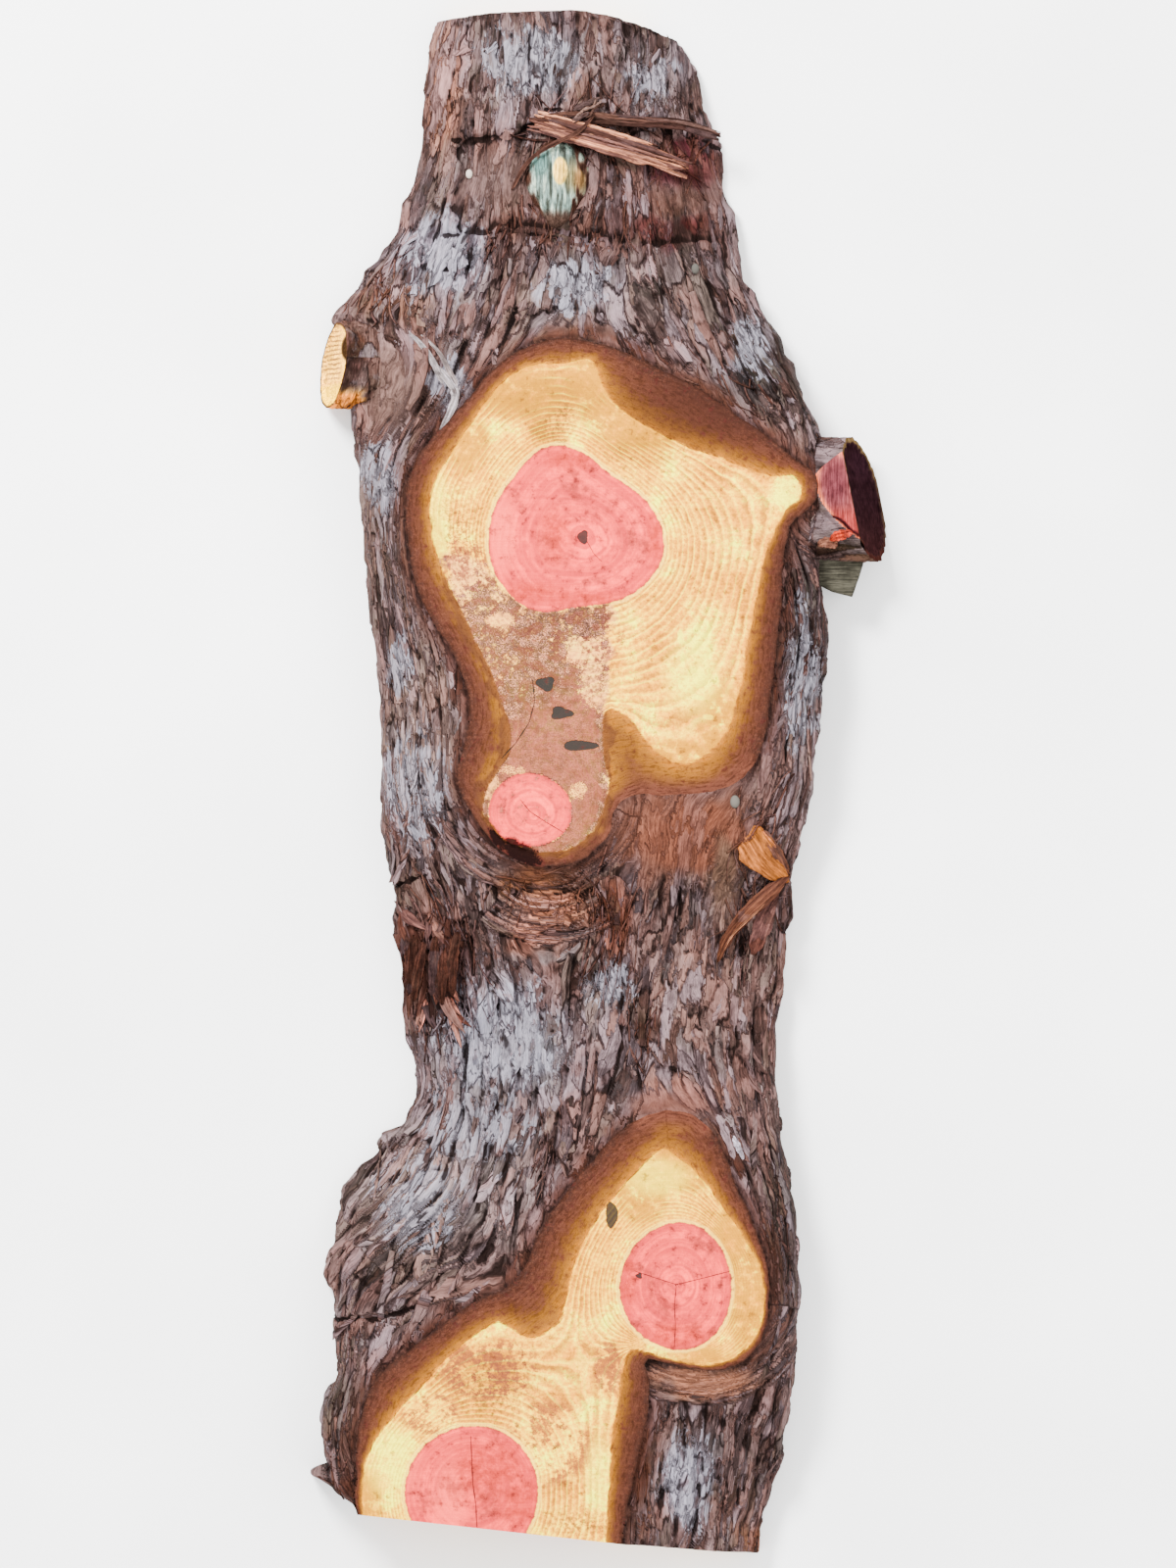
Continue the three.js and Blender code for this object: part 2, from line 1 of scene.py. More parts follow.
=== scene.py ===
import math
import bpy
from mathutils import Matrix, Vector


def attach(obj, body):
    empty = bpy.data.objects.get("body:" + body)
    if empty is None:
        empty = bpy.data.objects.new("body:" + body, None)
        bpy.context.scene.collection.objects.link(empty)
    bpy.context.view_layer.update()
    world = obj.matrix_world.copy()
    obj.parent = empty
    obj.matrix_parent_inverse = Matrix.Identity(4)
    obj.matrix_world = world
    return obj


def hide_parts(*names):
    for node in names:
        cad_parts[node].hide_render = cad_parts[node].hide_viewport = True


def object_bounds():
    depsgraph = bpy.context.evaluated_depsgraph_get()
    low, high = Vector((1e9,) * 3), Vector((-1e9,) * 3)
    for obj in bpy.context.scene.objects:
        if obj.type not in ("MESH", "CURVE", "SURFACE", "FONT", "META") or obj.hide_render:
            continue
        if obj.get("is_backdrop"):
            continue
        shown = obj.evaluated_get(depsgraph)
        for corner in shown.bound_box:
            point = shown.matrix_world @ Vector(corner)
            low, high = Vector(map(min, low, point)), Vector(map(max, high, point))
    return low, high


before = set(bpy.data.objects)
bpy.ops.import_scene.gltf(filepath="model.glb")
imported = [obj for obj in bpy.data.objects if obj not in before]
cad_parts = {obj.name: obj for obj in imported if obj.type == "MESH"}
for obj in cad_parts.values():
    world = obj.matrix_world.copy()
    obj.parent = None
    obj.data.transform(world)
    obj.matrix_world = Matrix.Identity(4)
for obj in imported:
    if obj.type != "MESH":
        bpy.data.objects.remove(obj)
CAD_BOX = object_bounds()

from types import SimpleNamespace

import bpy
import numpy as np
from mathutils import Vector

# Sizes in millimetres, as in the part's source
LENGTH, THICKNESS = 1200.0, 68.0
EDGE_ROUND, RIM_ROUND, COLLAR_SLOPE = 84.0, 22.0, 0.42
STRIP_COUNT, STRIP_WIDTH, STRIP_LENGTH, MARGIN = 17, 15.0, 72.0, 0.03
RELIEF, SWELL, LATHS = 6.0, 3.0, 44
FLOW_WIDTH, CROWN_HEIGHT = 330.0, 57.0

# The sketch grid that the outlines are drawn in, x to the right and y down, and how it lies on the plan
SKETCH_LENGTH = 1578
PITCH = LENGTH / SKETCH_LENGTH
MIDDLE = (610.8, 799.5)
# The y between the two windows
BETWEEN = 1000

# The studio's light on a level face, and how the picture mixes its channels
STUDIO_LIGHT = 5.6
CHANNEL_MIX = np.array([[0.8425, 0.0784, 0.0792], [0.0423, 0.8785, 0.0792], [0.0424, 0.0784, 0.8791]])

# Fineness of the bark: rows along, columns over each live edge and between them
ROWS, EDGE_COLUMNS, MIDDLE_COLUMNS = ((800, 58, 196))

# The slab's outline
TOP_CUT = [(442, 16), (470, 15), (500, 12), (540, 11), (590, 10), (620, 14), (650, 21), (676, 27)]
LEFT_EDGE = [
    (442, 16), (434, 40), (430, 80), (427, 120), (426, 140), (422, 172), (414, 190), (405, 203), (402, 232),
    (394, 245), (386, 255), (383, 262), (371, 272), (363, 286), (352, 301), (340, 315), (336, 324),
    (346, 334), (352, 380), (357, 442), (362, 470), (363, 500), (368, 545), (369, 580), (373, 620),
    (378, 660), (383, 695), (385, 760), (385, 850), (391, 872), (398, 905), (400, 940), (396, 955),
    (405, 975), (410, 1000), (408, 1030), (409, 1060), (417, 1082), (421, 1104), (422, 1122), (414, 1134),
    (407, 1151), (384, 1159), (379, 1183), (365, 1192), (354, 1207), (345, 1217), (340, 1250), (337, 1272),
    (330, 1300), (336, 1320), (335, 1355), (341, 1400), (337, 1414), (326, 1426), (323, 1450), (325, 1488),
    (328, 1499), (315, 1508), (332, 1520), (347, 1534), (366, 1543),
]
RIGHT_EDGE = [
    (676, 27), (691, 33), (700, 42), (708, 54), (715, 70), (719, 86), (723, 105), (730, 125), (739, 140),
    (740, 170), (742, 188), (746, 202), (753, 212), (755, 235), (759, 262), (763, 284), (774, 295),
    (778, 310), (787, 326), (798, 341), (803, 357), (819, 388), (828, 412), (837, 428), (842, 450),
    (848, 500), (843, 560), (843, 600), (848, 630), (849, 670), (847, 685), (840, 710), (838, 750),
    (835, 790), (833, 810), (825, 840), (821, 862), (815, 882), (810, 905), (809, 940), (805, 975),
    (802, 1000), (797, 1030), (795, 1080), (794, 1102), (799, 1140), (802, 1170), (810, 1205), (815, 1235),
    (818, 1275), (817, 1300), (820, 1326), (817, 1352), (816, 1390), (813, 1420), (810, 1445), (803, 1468),
    (798, 1500), (791, 1530), (783, 1548), (777, 1566), (777, 1589),
]

# The two sawn windows, the bare wood inside each, and the stained and the charred patch
UPPER_WINDOW = [
    (575, 345), (612, 352), (656, 368), (689, 386), (718, 402), (754, 426), (786, 450), (812, 470),
    (832, 484), (834, 506), (822, 522), (806, 532), (800, 560), (797, 600), (795, 640), (789, 680),
    (785, 720), (779, 760), (765, 790), (735, 806), (690, 812), (650, 810), (628, 820), (622, 850),
    (606, 871), (577, 884), (545, 886), (518, 874), (500, 856), (486, 838), (472, 815), (464, 795),
    (474, 760), (481, 730), (477, 700), (463, 668), (446, 640), (430, 612), (420, 580), (415, 545),
    (414, 510), (420, 478), (436, 454), (458, 430), (480, 404), (502, 380), (524, 363), (550, 350),
]
LOWER_WINDOW = [
    (672, 1131), (700, 1133), (718, 1143), (735, 1164), (746, 1196), (759, 1227), (775, 1262), (784, 1293),
    (785, 1326), (779, 1362), (765, 1383), (741, 1395), (713, 1397), (679, 1389), (656, 1383), (664, 1412),
    (661, 1444), (653, 1472), (648, 1500), (640, 1530), (634, 1572), (630, 1640), (369, 1640), (366, 1542),
    (362, 1525), (365, 1500), (365, 1465), (370, 1437), (380, 1408), (403, 1386), (431, 1365), (462, 1342),
    (486, 1325), (520, 1312), (537, 1293), (548, 1262), (565, 1231), (586, 1203), (610, 1177), (634, 1149),
]
UPPER_WOOD = [
    (536, 375), (552, 373), (569, 372), (584, 371), (598, 367), (607, 371), (613, 392), (622, 408),
    (635, 421), (671, 443), (700, 457), (744, 472), (780, 486), (800, 487), (810, 486), (818, 499),
    (814, 512), (802, 519), (791, 541), (780, 566), (775, 592), (769, 621), (762, 657), (758, 694),
    (750, 718), (744, 742), (728, 764), (710, 777), (693, 781), (678, 774), (660, 759), (649, 741),
    (636, 727), (618, 722), (613, 745), (617, 775), (622, 800), (616, 825), (608, 845), (592, 861),
    (575, 868), (545, 870), (520, 860), (503, 845), (492, 826), (497, 805), (510, 785), (522, 768),
    (521, 740), (512, 715), (504, 690), (485, 652), (467, 616), (453, 586), (443, 556), (440, 534),
    (439, 512), (446, 486), (467, 454), (489, 421), (515, 388),
]
LOWER_WOOD = [
    (668, 1174), (679, 1169), (689, 1177), (713, 1196), (734, 1227), (755, 1255), (772, 1283), (780, 1307),
    (779, 1334), (772, 1362), (755, 1380), (735, 1389), (710, 1391), (680, 1384), (655, 1375), (640, 1374),
    (634, 1403), (632, 1420), (627, 1444), (624, 1472), (622, 1500), (620, 1530), (618, 1567), (618, 1640),
    (373, 1640), (370, 1535), (371, 1500), (379, 1475), (393, 1455), (410, 1434), (431, 1413), (448, 1393),
    (469, 1372), (493, 1355), (507, 1347), (513, 1348), (524, 1355), (534, 1362), (551, 1363), (562, 1355),
    (574, 1345), (577, 1324), (582, 1300), (596, 1262), (617, 1231), (637, 1207), (658, 1186),
]
STAINED = [
    (456, 570), (480, 566), (502, 588), (518, 606), (545, 622), (575, 618), (624, 608), (622, 650),
    (617, 722), (618, 775), (618, 830), (600, 860), (560, 872), (520, 866), (494, 840), (490, 812),
    (498, 792), (512, 770), (512, 730), (500, 690), (480, 650), (462, 618),
]
CHARRED = [(496, 842), (512, 852), (530, 858), (546, 866), (558, 880), (544, 886), (522, 876), (502, 860)]

# The log's height down its middle: [y, millimetres]. Bosses: centre, half-axes and rise
CROWN = [
    (11, 49), (130, 52), (260, 54), (360, 58), (700, 60), (900, 57), (1100, 54), (1250, 57), (1589, 56),
]
BOSSES = [
    (388, 385, 60, 78, 14), (826, 500, 42, 74, 12), (555, 936, 50, 44, 9), (690, 836, 112, 90, 12),
    (400, 1250, 70, 110, 7), (760, 1290, 40, 190, 6),
]
# Where the bark is torn off, with the depth, and the round obstacles that the grain parts for
TRENCH = [
    (462, 140), (500, 137), (545, 126), (600, 118), (690, 124), (742, 142), (746, 205), (740, 246),
    (650, 252), (600, 243), (540, 236), (470, 238), (455, 215), (468, 180),
]
HOLLOW = [(392, 938), (440, 931), (478, 936), (486, 990), (480, 1040), (436, 1048), (404, 1030)]
TORN = [(TRENCH, 7.0), (HOLLOW, 5.5)]
FLOW_ROUND = [(366, 385, 50), (856, 512, 62), (570, 180, 28), (555, 936, 36)]


def oval(x, y, half_x, half_y, wobble=0.02, turns=3):
    angles = [2 * math.pi * i / 40 for i in range(40)]
    grow = [1 + wobble * math.sin(turns * a + x) for a in angles]
    return [(x + half_x * g * math.cos(a), y + half_y * g * math.sin(a)) for a, g in zip(angles, grow)]


# The knots' pink hearts and piths, drying cracks with their widths, and pits
HEART_A = [
    (573, 455), (590, 460), (606, 470), (618, 482), (640, 496), (658, 510), (671, 528), (678, 548),
    (677, 570), (664, 592), (642, 610), (616, 618), (584, 621), (562, 626), (545, 624), (533, 619),
    (518, 606), (504, 585), (498, 560), (500, 534), (507, 512), (525, 486), (540, 468), (556, 457),
]
HEARTS = [HEART_A, oval(541, 827, 43, 38), oval(690, 1311, 57, 65), oval(482, 1521, 68, 69, 0.01)]
PITHS = [(595, 549), (545, 832), (690, 1309), (483, 1512)]
CRACKS = [
    ([(544, 697), (546, 716), (540, 738), (527, 758), (514, 772)], 0.9),
    ([(533, 818), (541, 828), (556, 838), (573, 848)], 0.6),
    ([(650, 1296), (668, 1302), (690, 1309), (715, 1303), (742, 1296)], 0.5),
    ([(690, 1309), (688, 1330), (689, 1350), (688, 1370)], 0.6),
    ([(481, 1466), (482, 1490), (483, 1512), (486, 1532), (487, 1553)], 0.8),
    ([(600, 555), (606, 566), (612, 572)], 0.4),
]
PITS = [
    oval(557, 698, 9, 7, 0.2), oval(573, 728, 11, 6, 0.2), oval(592, 761, 18, 5, 0.1),
    oval(624, 1238, 6, 13, 0.1), oval(595, 549, 5, 7, 0.15), oval(652, 1300, 3, 3, 0.2),
]

# Ovals on the sawn faces, as centre and half-axes; the shady ones have a strength too
GOLDEN = [
    (530, 400, 70, 44), (600, 392, 44, 40), (766, 1322, 36, 96), (650, 440, 70, 30), (700, 1190, 50, 36),
    (378, 1530, 20, 50), (655, 1215, 40, 50), (446, 590, 16, 90), (740, 740, 40, 60), (748, 1262, 30, 50),
    (625, 424, 50, 26), (715, 1385, 50, 18), (476, 452, 36, 44), (690, 772, 50, 26),
]
CREAMY = [
    (600, 668, 36, 22), (604, 706, 22, 32), (474, 572, 22, 50), (512, 634, 20, 12), (604, 690, 18, 40),
    (505, 806, 13, 26), (524, 786, 28, 10), (590, 806, 16, 18),
]
DIRTY = [
    (465, 560, 40, 80), (572, 425, 22, 34), (590, 1552, 50, 16), (505, 1410, 60, 40), (620, 600, 60, 26),
    (700, 1385, 60, 14), (560, 640, 90, 40), (610, 690, 24, 60),
]
RUSTY = [
    (500, 1395, 70, 44), (440, 1440, 40, 30), (470, 580, 40, 60), (600, 650, 50, 40), (560, 1470, 60, 60),
    (620, 1395, 20, 40),
]
BRIGHT = [
    (512, 545, 20, 64), (460, 1530, 26, 60), (446, 530, 20, 80), (400, 1490, 40, 60), (802, 504, 22, 22),
    (706, 690, 44, 60), (670, 1200, 50, 30), (610, 1500, 20, 60),
]
DULL = [(560, 410, 90, 36), (660, 460, 50, 30), (500, 1400, 70, 40), (560, 440, 30, 30)]
TICKS = [(694, 650, 3, 10), (696, 672, 2.6, 11), (731, 694, 2.4, 8), (712, 712, 8, 3), (722, 732, 7, 3)]
RUDDY = [
    (584, 468, 44, 22), (600, 612, 76, 13), (566, 548, 26, 40), (540, 606, 50, 18), (668, 550, 12, 50),
    (500, 1500, 60, 50), (530, 1530, 40, 40), (690, 1360, 60, 20), (640, 1300, 16, 50),
]
FADING = [(700, 806, 130, 56), (545, 800, 70, 50), (640, 840, 50, 44), (690, 1142, 60, 24)]
SHADY = [
    (705, 424, 150, 60, 1.0), (792, 640, 36, 170, 0.55), (645, 1480, 28, 130, 0.45),
    (428, 500, 14, 60, 0.4),
]

# Ovals on the bark: pale lichen, smooth bark, long strings, and colours with how strongly they show
PALE = [
    (450, 260, 70, 66), (540, 60, 80, 60), (665, 80, 40, 40), (590, 290, 60, 40), (425, 800, 50, 90),
    (385, 490, 30, 60), (410, 680, 24, 50), (510, 1060, 104, 92), (480, 1150, 90, 60), (700, 1510, 44, 80),
    (820, 690, 30, 110), (770, 350, 30, 50), (430, 1230, 70, 80), (620, 1010, 40, 40), (460, 400, 30, 50),
]
SMOOTH = [
    (700, 850, 125, 80), (505, 180, 62, 42), (700, 190, 64, 40), (738, 900, 24, 72), (653, 1490, 18, 90),
    (705, 402, 86, 30), (545, 890, 70, 24), (715, 1405, 86, 22), (402, 400, 46, 66), (670, 1125, 60, 22),
    (440, 990, 30, 40),
]
STRINGY = [
    (430, 1240, 130, 110), (815, 720, 50, 330), (400, 620, 50, 160), (800, 1260, 40, 260),
    (760, 960, 60, 90), (620, 940, 40, 70), (440, 800, 60, 90),
]
BARK = (166, 142, 139)
PLACES = [
    (450, 95, 30, 95, (202, 158, 138), 0.9), (545, 65, 75, 60, (192, 184, 188), 0.8),
    (600, 92, 30, 26, (156, 132, 122), 0.8), (665, 75, 50, 50, (172, 158, 158), 0.7),
    (510, 180, 70, 60, (166, 140, 134), 0.9), (700, 165, 50, 32, (132, 66, 74), 1.0),
    (684, 236, 58, 24, (134, 62, 66), 1.0), (690, 202, 46, 16, (148, 116, 106), 0.8),
    (640, 175, 30, 60, (150, 110, 100), 0.7), (575, 235, 120, 22, (126, 92, 84), 0.8),
    (450, 262, 62, 62, (192, 188, 200), 0.8), (590, 285, 80, 50, (177, 166, 169), 0.7),
    # The dark brown at (600, 338), along the upper window's top rim, is partly frayed fibres' own colour and
    # partly painted shadow
    (600, 338, 76, 13, (118, 90, 82), 0.9), (400, 305, 50, 34, (178, 138, 118), 0.8),
    (700, 300, 80, 60, (166, 150, 145), 0.7), (400, 400, 62, 60, (166, 138, 128), 0.8),
    (705, 408, 80, 34, (152, 112, 92), 0.8), (775, 362, 56, 70, (112, 102, 102), 0.9),
    (830, 470, 24, 40, (140, 108, 96), 0.6), (390, 560, 40, 110, (162, 142, 134), 0.6),
    (430, 740, 50, 130, (198, 178, 170), 0.8), (820, 650, 34, 120, (100, 88, 90), 0.9),
    (545, 895, 60, 22, (184, 134, 100), 0.9), (566, 924, 60, 32, (222, 176, 150), 0.95),
    (545, 955, 46, 28, (214, 172, 156), 0.95), (570, 985, 46, 14, (150, 140, 138), 0.7),
    (700, 852, 110, 66, (178, 122, 98), 0.95), (625, 940, 24, 56, (170, 112, 90), 0.9),
    (738, 905, 20, 70, (164, 134, 116), 0.95), (440, 985, 50, 60, (112, 62, 48), 0.95),
    (430, 905, 50, 40, (162, 134, 124), 0.7), (510, 1060, 110, 100, (176, 176, 186), 0.9),
    # The near-black at (660, 1050) is painted shade in a hole in the bark
    (720, 1010, 90, 120, (176, 150, 144), 0.9), (660, 1050, 14, 18, (80, 50, 42), 0.9),
    (410, 1230, 80, 100, (178, 162, 156), 0.8), (500, 1200, 80, 90, (190, 180, 180), 0.8),
    (690, 1120, 70, 30, (178, 136, 126), 0.9), (800, 1250, 24, 120, (112, 96, 92), 0.9),
    (715, 1408, 84, 26, (214, 172, 148), 0.95), (653, 1490, 16, 90, (128, 84, 66), 0.95),
    (700, 1510, 44, 70, (196, 194, 204), 0.9), (770, 1580, 26, 24, (190, 134, 100), 0.8),
    (345, 1440, 24, 80, (140, 118, 108), 0.8), (350, 1525, 40, 24, (124, 88, 72), 0.9),
]

# Breaks across the grain, and arcs of wrinkles: centre, inner and outer radius, and how narrow the fan is
GASHES = [
    [(330, 1348), (360, 1345), (385, 1346), (410, 1338), (445, 1322)],
    [(460, 141), (490, 142), (512, 134), (545, 126)],
    [(556, 112), (575, 112), (606, 128), (640, 140), (662, 128), (700, 134), (742, 148)],
    [(650, 1035), (660, 1062)],
    [(560, 1180), (548, 1206)],
    [(452, 240), (520, 236), (590, 246)],
    [(436, 892), (400, 905)],
]
ARCS = [
    (545, 800, 88, 112, 0.3), (712, 1306, 88, 128, 0.3), (856, 512, 30, 62, 0.3), (560, 846, 78, 118, 0.8),
]


def rounded(outline):
    """The outline with its corners cut off."""
    cut = []
    for (ax, ay), (bx, by) in zip(outline, outline[1:] + outline[:1]):
        cut += [(near * ax + (1 - near) * bx, near * ay + (1 - near) * by) for near in (0.75, 0.25)]
    return cut


UPPER_RIM, LOWER_RIM = rounded(UPPER_WINDOW), rounded(LOWER_WINDOW)
WOODS = [rounded(UPPER_WOOD), rounded(LOWER_WOOD)]
WOOD_PATCHES = {"yellow": GOLDEN, "cream": CREAMY, "rusty": RUSTY, "ruddy": RUDDY, "soft": FADING}


# Noise

def chance(i, j, seed):
    """A repeatable random number from 0 to 1 for whole numbers i and j."""
    i = np.asarray(i).astype(np.int64).astype(np.uint32)
    j = np.asarray(j).astype(np.int64).astype(np.uint32)
    own = np.uint32((seed * 974634777) % 2**32)
    with np.errstate(over="ignore"):
        h = (i * np.uint32(374761393)) ^ (j * np.uint32(668265263)) ^ own
        h = (h ^ (h >> np.uint32(13))) * np.uint32(1274126177)
    return (h ^ (h >> np.uint32(16))).astype(np.float64) / 2**32


def picker(numbers, seed):
    """A function that gives the k-th random draw of each numbered thing."""
    return lambda k: chance(numbers, 0 * numbers + k, seed)


def smooth(low, high, t):
    s = np.clip((t - low) / (high - low), 0, 1)
    return s * s * (3 - 2 * s)


def noise(x, y, seed):
    x, y = np.asarray(x, float), np.asarray(y, float)
    i, j = np.floor(x), np.floor(y)
    u, v = smooth(0, 1, x - i), smooth(0, 1, y - j)
    low = chance(i, j, seed) * (1 - u) + chance(i + 1, j, seed) * u
    high = chance(i, j + 1, seed) * (1 - u) + chance(i + 1, j + 1, seed) * u
    return low * (1 - v) + high * v


def rough(x, y, seed, octaves=3):
    total = sum(noise(x * 2**n, y * 2**n, seed + n) * 0.5**n for n in range(octaves))
    return total / sum(0.5**n for n in range(octaves))


# The sketch grid: its way to the plan and back, and distances in it

def planx(x):
    return (x - MIDDLE[0]) * PITCH


def plany(y):
    return (MIDDLE[1] - y) * PITCH


def sketch(points):
    return points[..., 0] / PITCH + MIDDLE[0], MIDDLE[1] - points[..., 1] / PITCH


def joined(*parts):
    """Coordinates of one shape as points or vectors."""
    return np.stack(np.broadcast_arrays(*parts), axis=-1)


def on_piece(x, y, start, end):
    """How far along a straight piece the point nearest to each point lies, 0 to 1, and its distance."""
    ex, ey = end[0] - start[0], end[1] - start[1]
    dx, dy = x - start[0], y - start[1]
    t = np.clip((dx * ex + dy * ey) / (ex * ex + ey * ey), 0, 1)
    return t, np.hypot(dx - t * ex, dy - t * ey)


def to_line(x, y, line):
    best = np.full(np.shape(x), 1e9)
    for start, end in zip(line, line[1:]):
        np.minimum(best, on_piece(x, y, start, end)[1], out=best)
    return best


def along_outline(x, y, outline):
    """How far along a closed outline the point nearest to each point lies."""
    best, at, done = np.full(np.shape(x), 1e9), np.zeros(np.shape(x)), 0.0
    for start, end in zip(outline, outline[1:] + outline[:1]):
        t, far = on_piece(x, y, start, end)
        long = math.dist(start, end)
        at = np.where(far < best, done + t * long, at)
        best = np.minimum(far, best)
        done += long
    return at


def inside(x, y, outline):
    """Distance to a closed outline, positive inside it."""
    within = np.zeros(np.shape(x), bool)
    for (xi, yi), (xj, yj) in zip(outline, outline[-1:] + outline[:-1]):
        if yi != yj:
            within ^= ((yi > y) != (yj > y)) & (x < xi + (xj - xi) * (y - yi) / (yj - yi))
    return to_line(x, y, outline + outline[:1]) * np.where(within, 1, -1)


def across(line, y):
    return np.interp(y, [p[1] for p in line], [p[0] for p in line])


def spot(x, y, at_x, at_y, half_x, half_y):
    """1 in the middle of an oval, 0 at its edge and beyond."""
    return 1 - smooth(0.2, 1, np.hypot((x - at_x) / half_x, (y - at_y) / half_y))


def among(x, y, ovals):
    return np.max([spot(x, y, *place) for place in ovals], axis=0)


def window_at(x, y):
    """Distance inside the windows' ragged rims in millimetres."""
    wobble = 3.2 * (rough(x / 16, y / 16, 61) - 0.5)
    return np.maximum(inside(x, y, UPPER_RIM), inside(x, y, LOWER_RIM)) * PITCH + wobble


# Steady fields on coarse grids: the grain round the windows and knots, and the growth rings

def relax(field, loose, conducts, steps):
    """Evens out the loose nodes of a grid until the flow through it is steady."""
    padded = np.pad(conducts, 1, mode="edge")
    sides = [
        (slice(None, -2), slice(1, -1)), (slice(2, None), slice(1, -1)),
        (slice(1, -1), slice(None, -2)), (slice(1, -1), slice(2, None)),
    ]
    weights = [2 * conducts * padded[s] / (conducts + padded[s]) for s in sides]
    total = sum(weights)
    checker = (np.add.outer(*map(np.arange, field.shape)) % 2).astype(bool)
    for step in range(steps):
        around = np.pad(field, 1, mode="edge")
        target = sum(w * around[s] for w, s in zip(weights, sides)) / total
        turn = loose & (checker if step % 2 else ~checker)
        field = np.where(turn, field + 1.8 * (target - field), field)
    return field


def sampled(field, x0, y0, cell):
    """A function that reads a grid of values at any points."""
    rows, columns = field.shape

    def read(px, py):
        gx = np.clip((px - x0) / cell, 0, columns - 1.001)
        gy = np.clip((py - y0) / cell, 0, rows - 1.001)
        c, r = gx.astype(int), gy.astype(int)
        u, v = gx - c, gy - r
        low = field[r, c] * (1 - u) + field[r, c + 1] * u
        high = field[r + 1, c] * (1 - u) + field[r + 1, c + 1] * u
        return low * (1 - v) + high * v

    return read


def solve_grain():
    """As in the part's source: 0 on the left live edge, 1 on the right one."""
    cell, columns, rows, x0, y0 = 10, 64, 161, 290, 0
    x, y = np.meshgrid(x0 + cell * np.arange(columns), y0 + cell * np.arange(rows))
    left = across(LEFT_EDGE, np.clip(y, 16, 1542))
    right = across(RIGHT_EDGE, np.clip(y, 110, 1589))
    flow = np.clip((x - left) / (right - left), 0, 1)
    loose = (x > left) & (x < right)
    free = (inside(x, y, UPPER_WINDOW) > 0) | (inside(x, y, LOWER_WINDOW) > 0)
    for at_x, at_y, radius in FLOW_ROUND:
        free |= np.hypot(x - at_x, y - at_y) < radius
    loose[:, [0, -1]] = False
    read = sampled(relax(flow, loose, np.where(free, 5.0, 1.0), 1400), x0, y0, cell)

    def grain(px, py):
        value = read(px, py)
        return value + 0.14 * value * (1 - value) * (noise(px / 45, py / 150, 7) - 0.5)

    return grain


def solve_rings(x0, y0, columns, rows, hearts, wood):
    """Where the sapwood's rings run: 0 on the hearts, 1 on the wood's edge, steady between them."""
    x, y = np.meshgrid(x0 + 4 * np.arange(columns), y0 + 4 * np.arange(rows))
    heart = np.max([inside(x, y, outline) for outline in hearts], axis=0) > 0
    outer = inside(x, y, wood) < 0
    return sampled(relax(np.where(outer, 1.0, 0.0), ~(heart | outer), np.ones(x.shape), 500), x0, y0, 4)


grain = solve_grain()
UPPER_RINGS = solve_rings(396, 340, 112, 140, HEARTS[:2], WOODS[0])
LOWER_RINGS = solve_rings(350, 1120, 116, 132, HEARTS[2:], WOODS[1])


def at_grain(value, y):
    """The x at which the grain has a value, by halving."""
    low, high = across(LEFT_EDGE, y), across(RIGHT_EDGE, y)
    for _ in range(14):
        middle = (low + high) / 2
        less = grain(middle, y) < value
        low, high = np.where(less, middle, low), np.where(less, high, middle)
    return low


# The log's surface, as in the part's source

def strips(value, down):
    a = (value - MARGIN) / (1 - 2 * MARGIN) * STRIP_COUNT
    i = np.floor(a)
    b = down / STRIP_LENGTH + 7 * chance(i, np.zeros_like(i), 3)
    j = np.floor(b)
    tall = 0.3 + 0.7 * chance(i, j, 5)
    beside = 2 * np.minimum(a - i, i + 1 - a)
    length = np.minimum(0.25 + 0.9 * (b - j), 5.5 * (j + 1 - b))
    return tall * beside * np.minimum(1, length)


def quarter(t):
    """Height of a quarter circle: 0 at the edge, 1 from one radius in."""
    return np.sqrt(1 - (1 - np.clip(t, 0, 1)) ** 2)


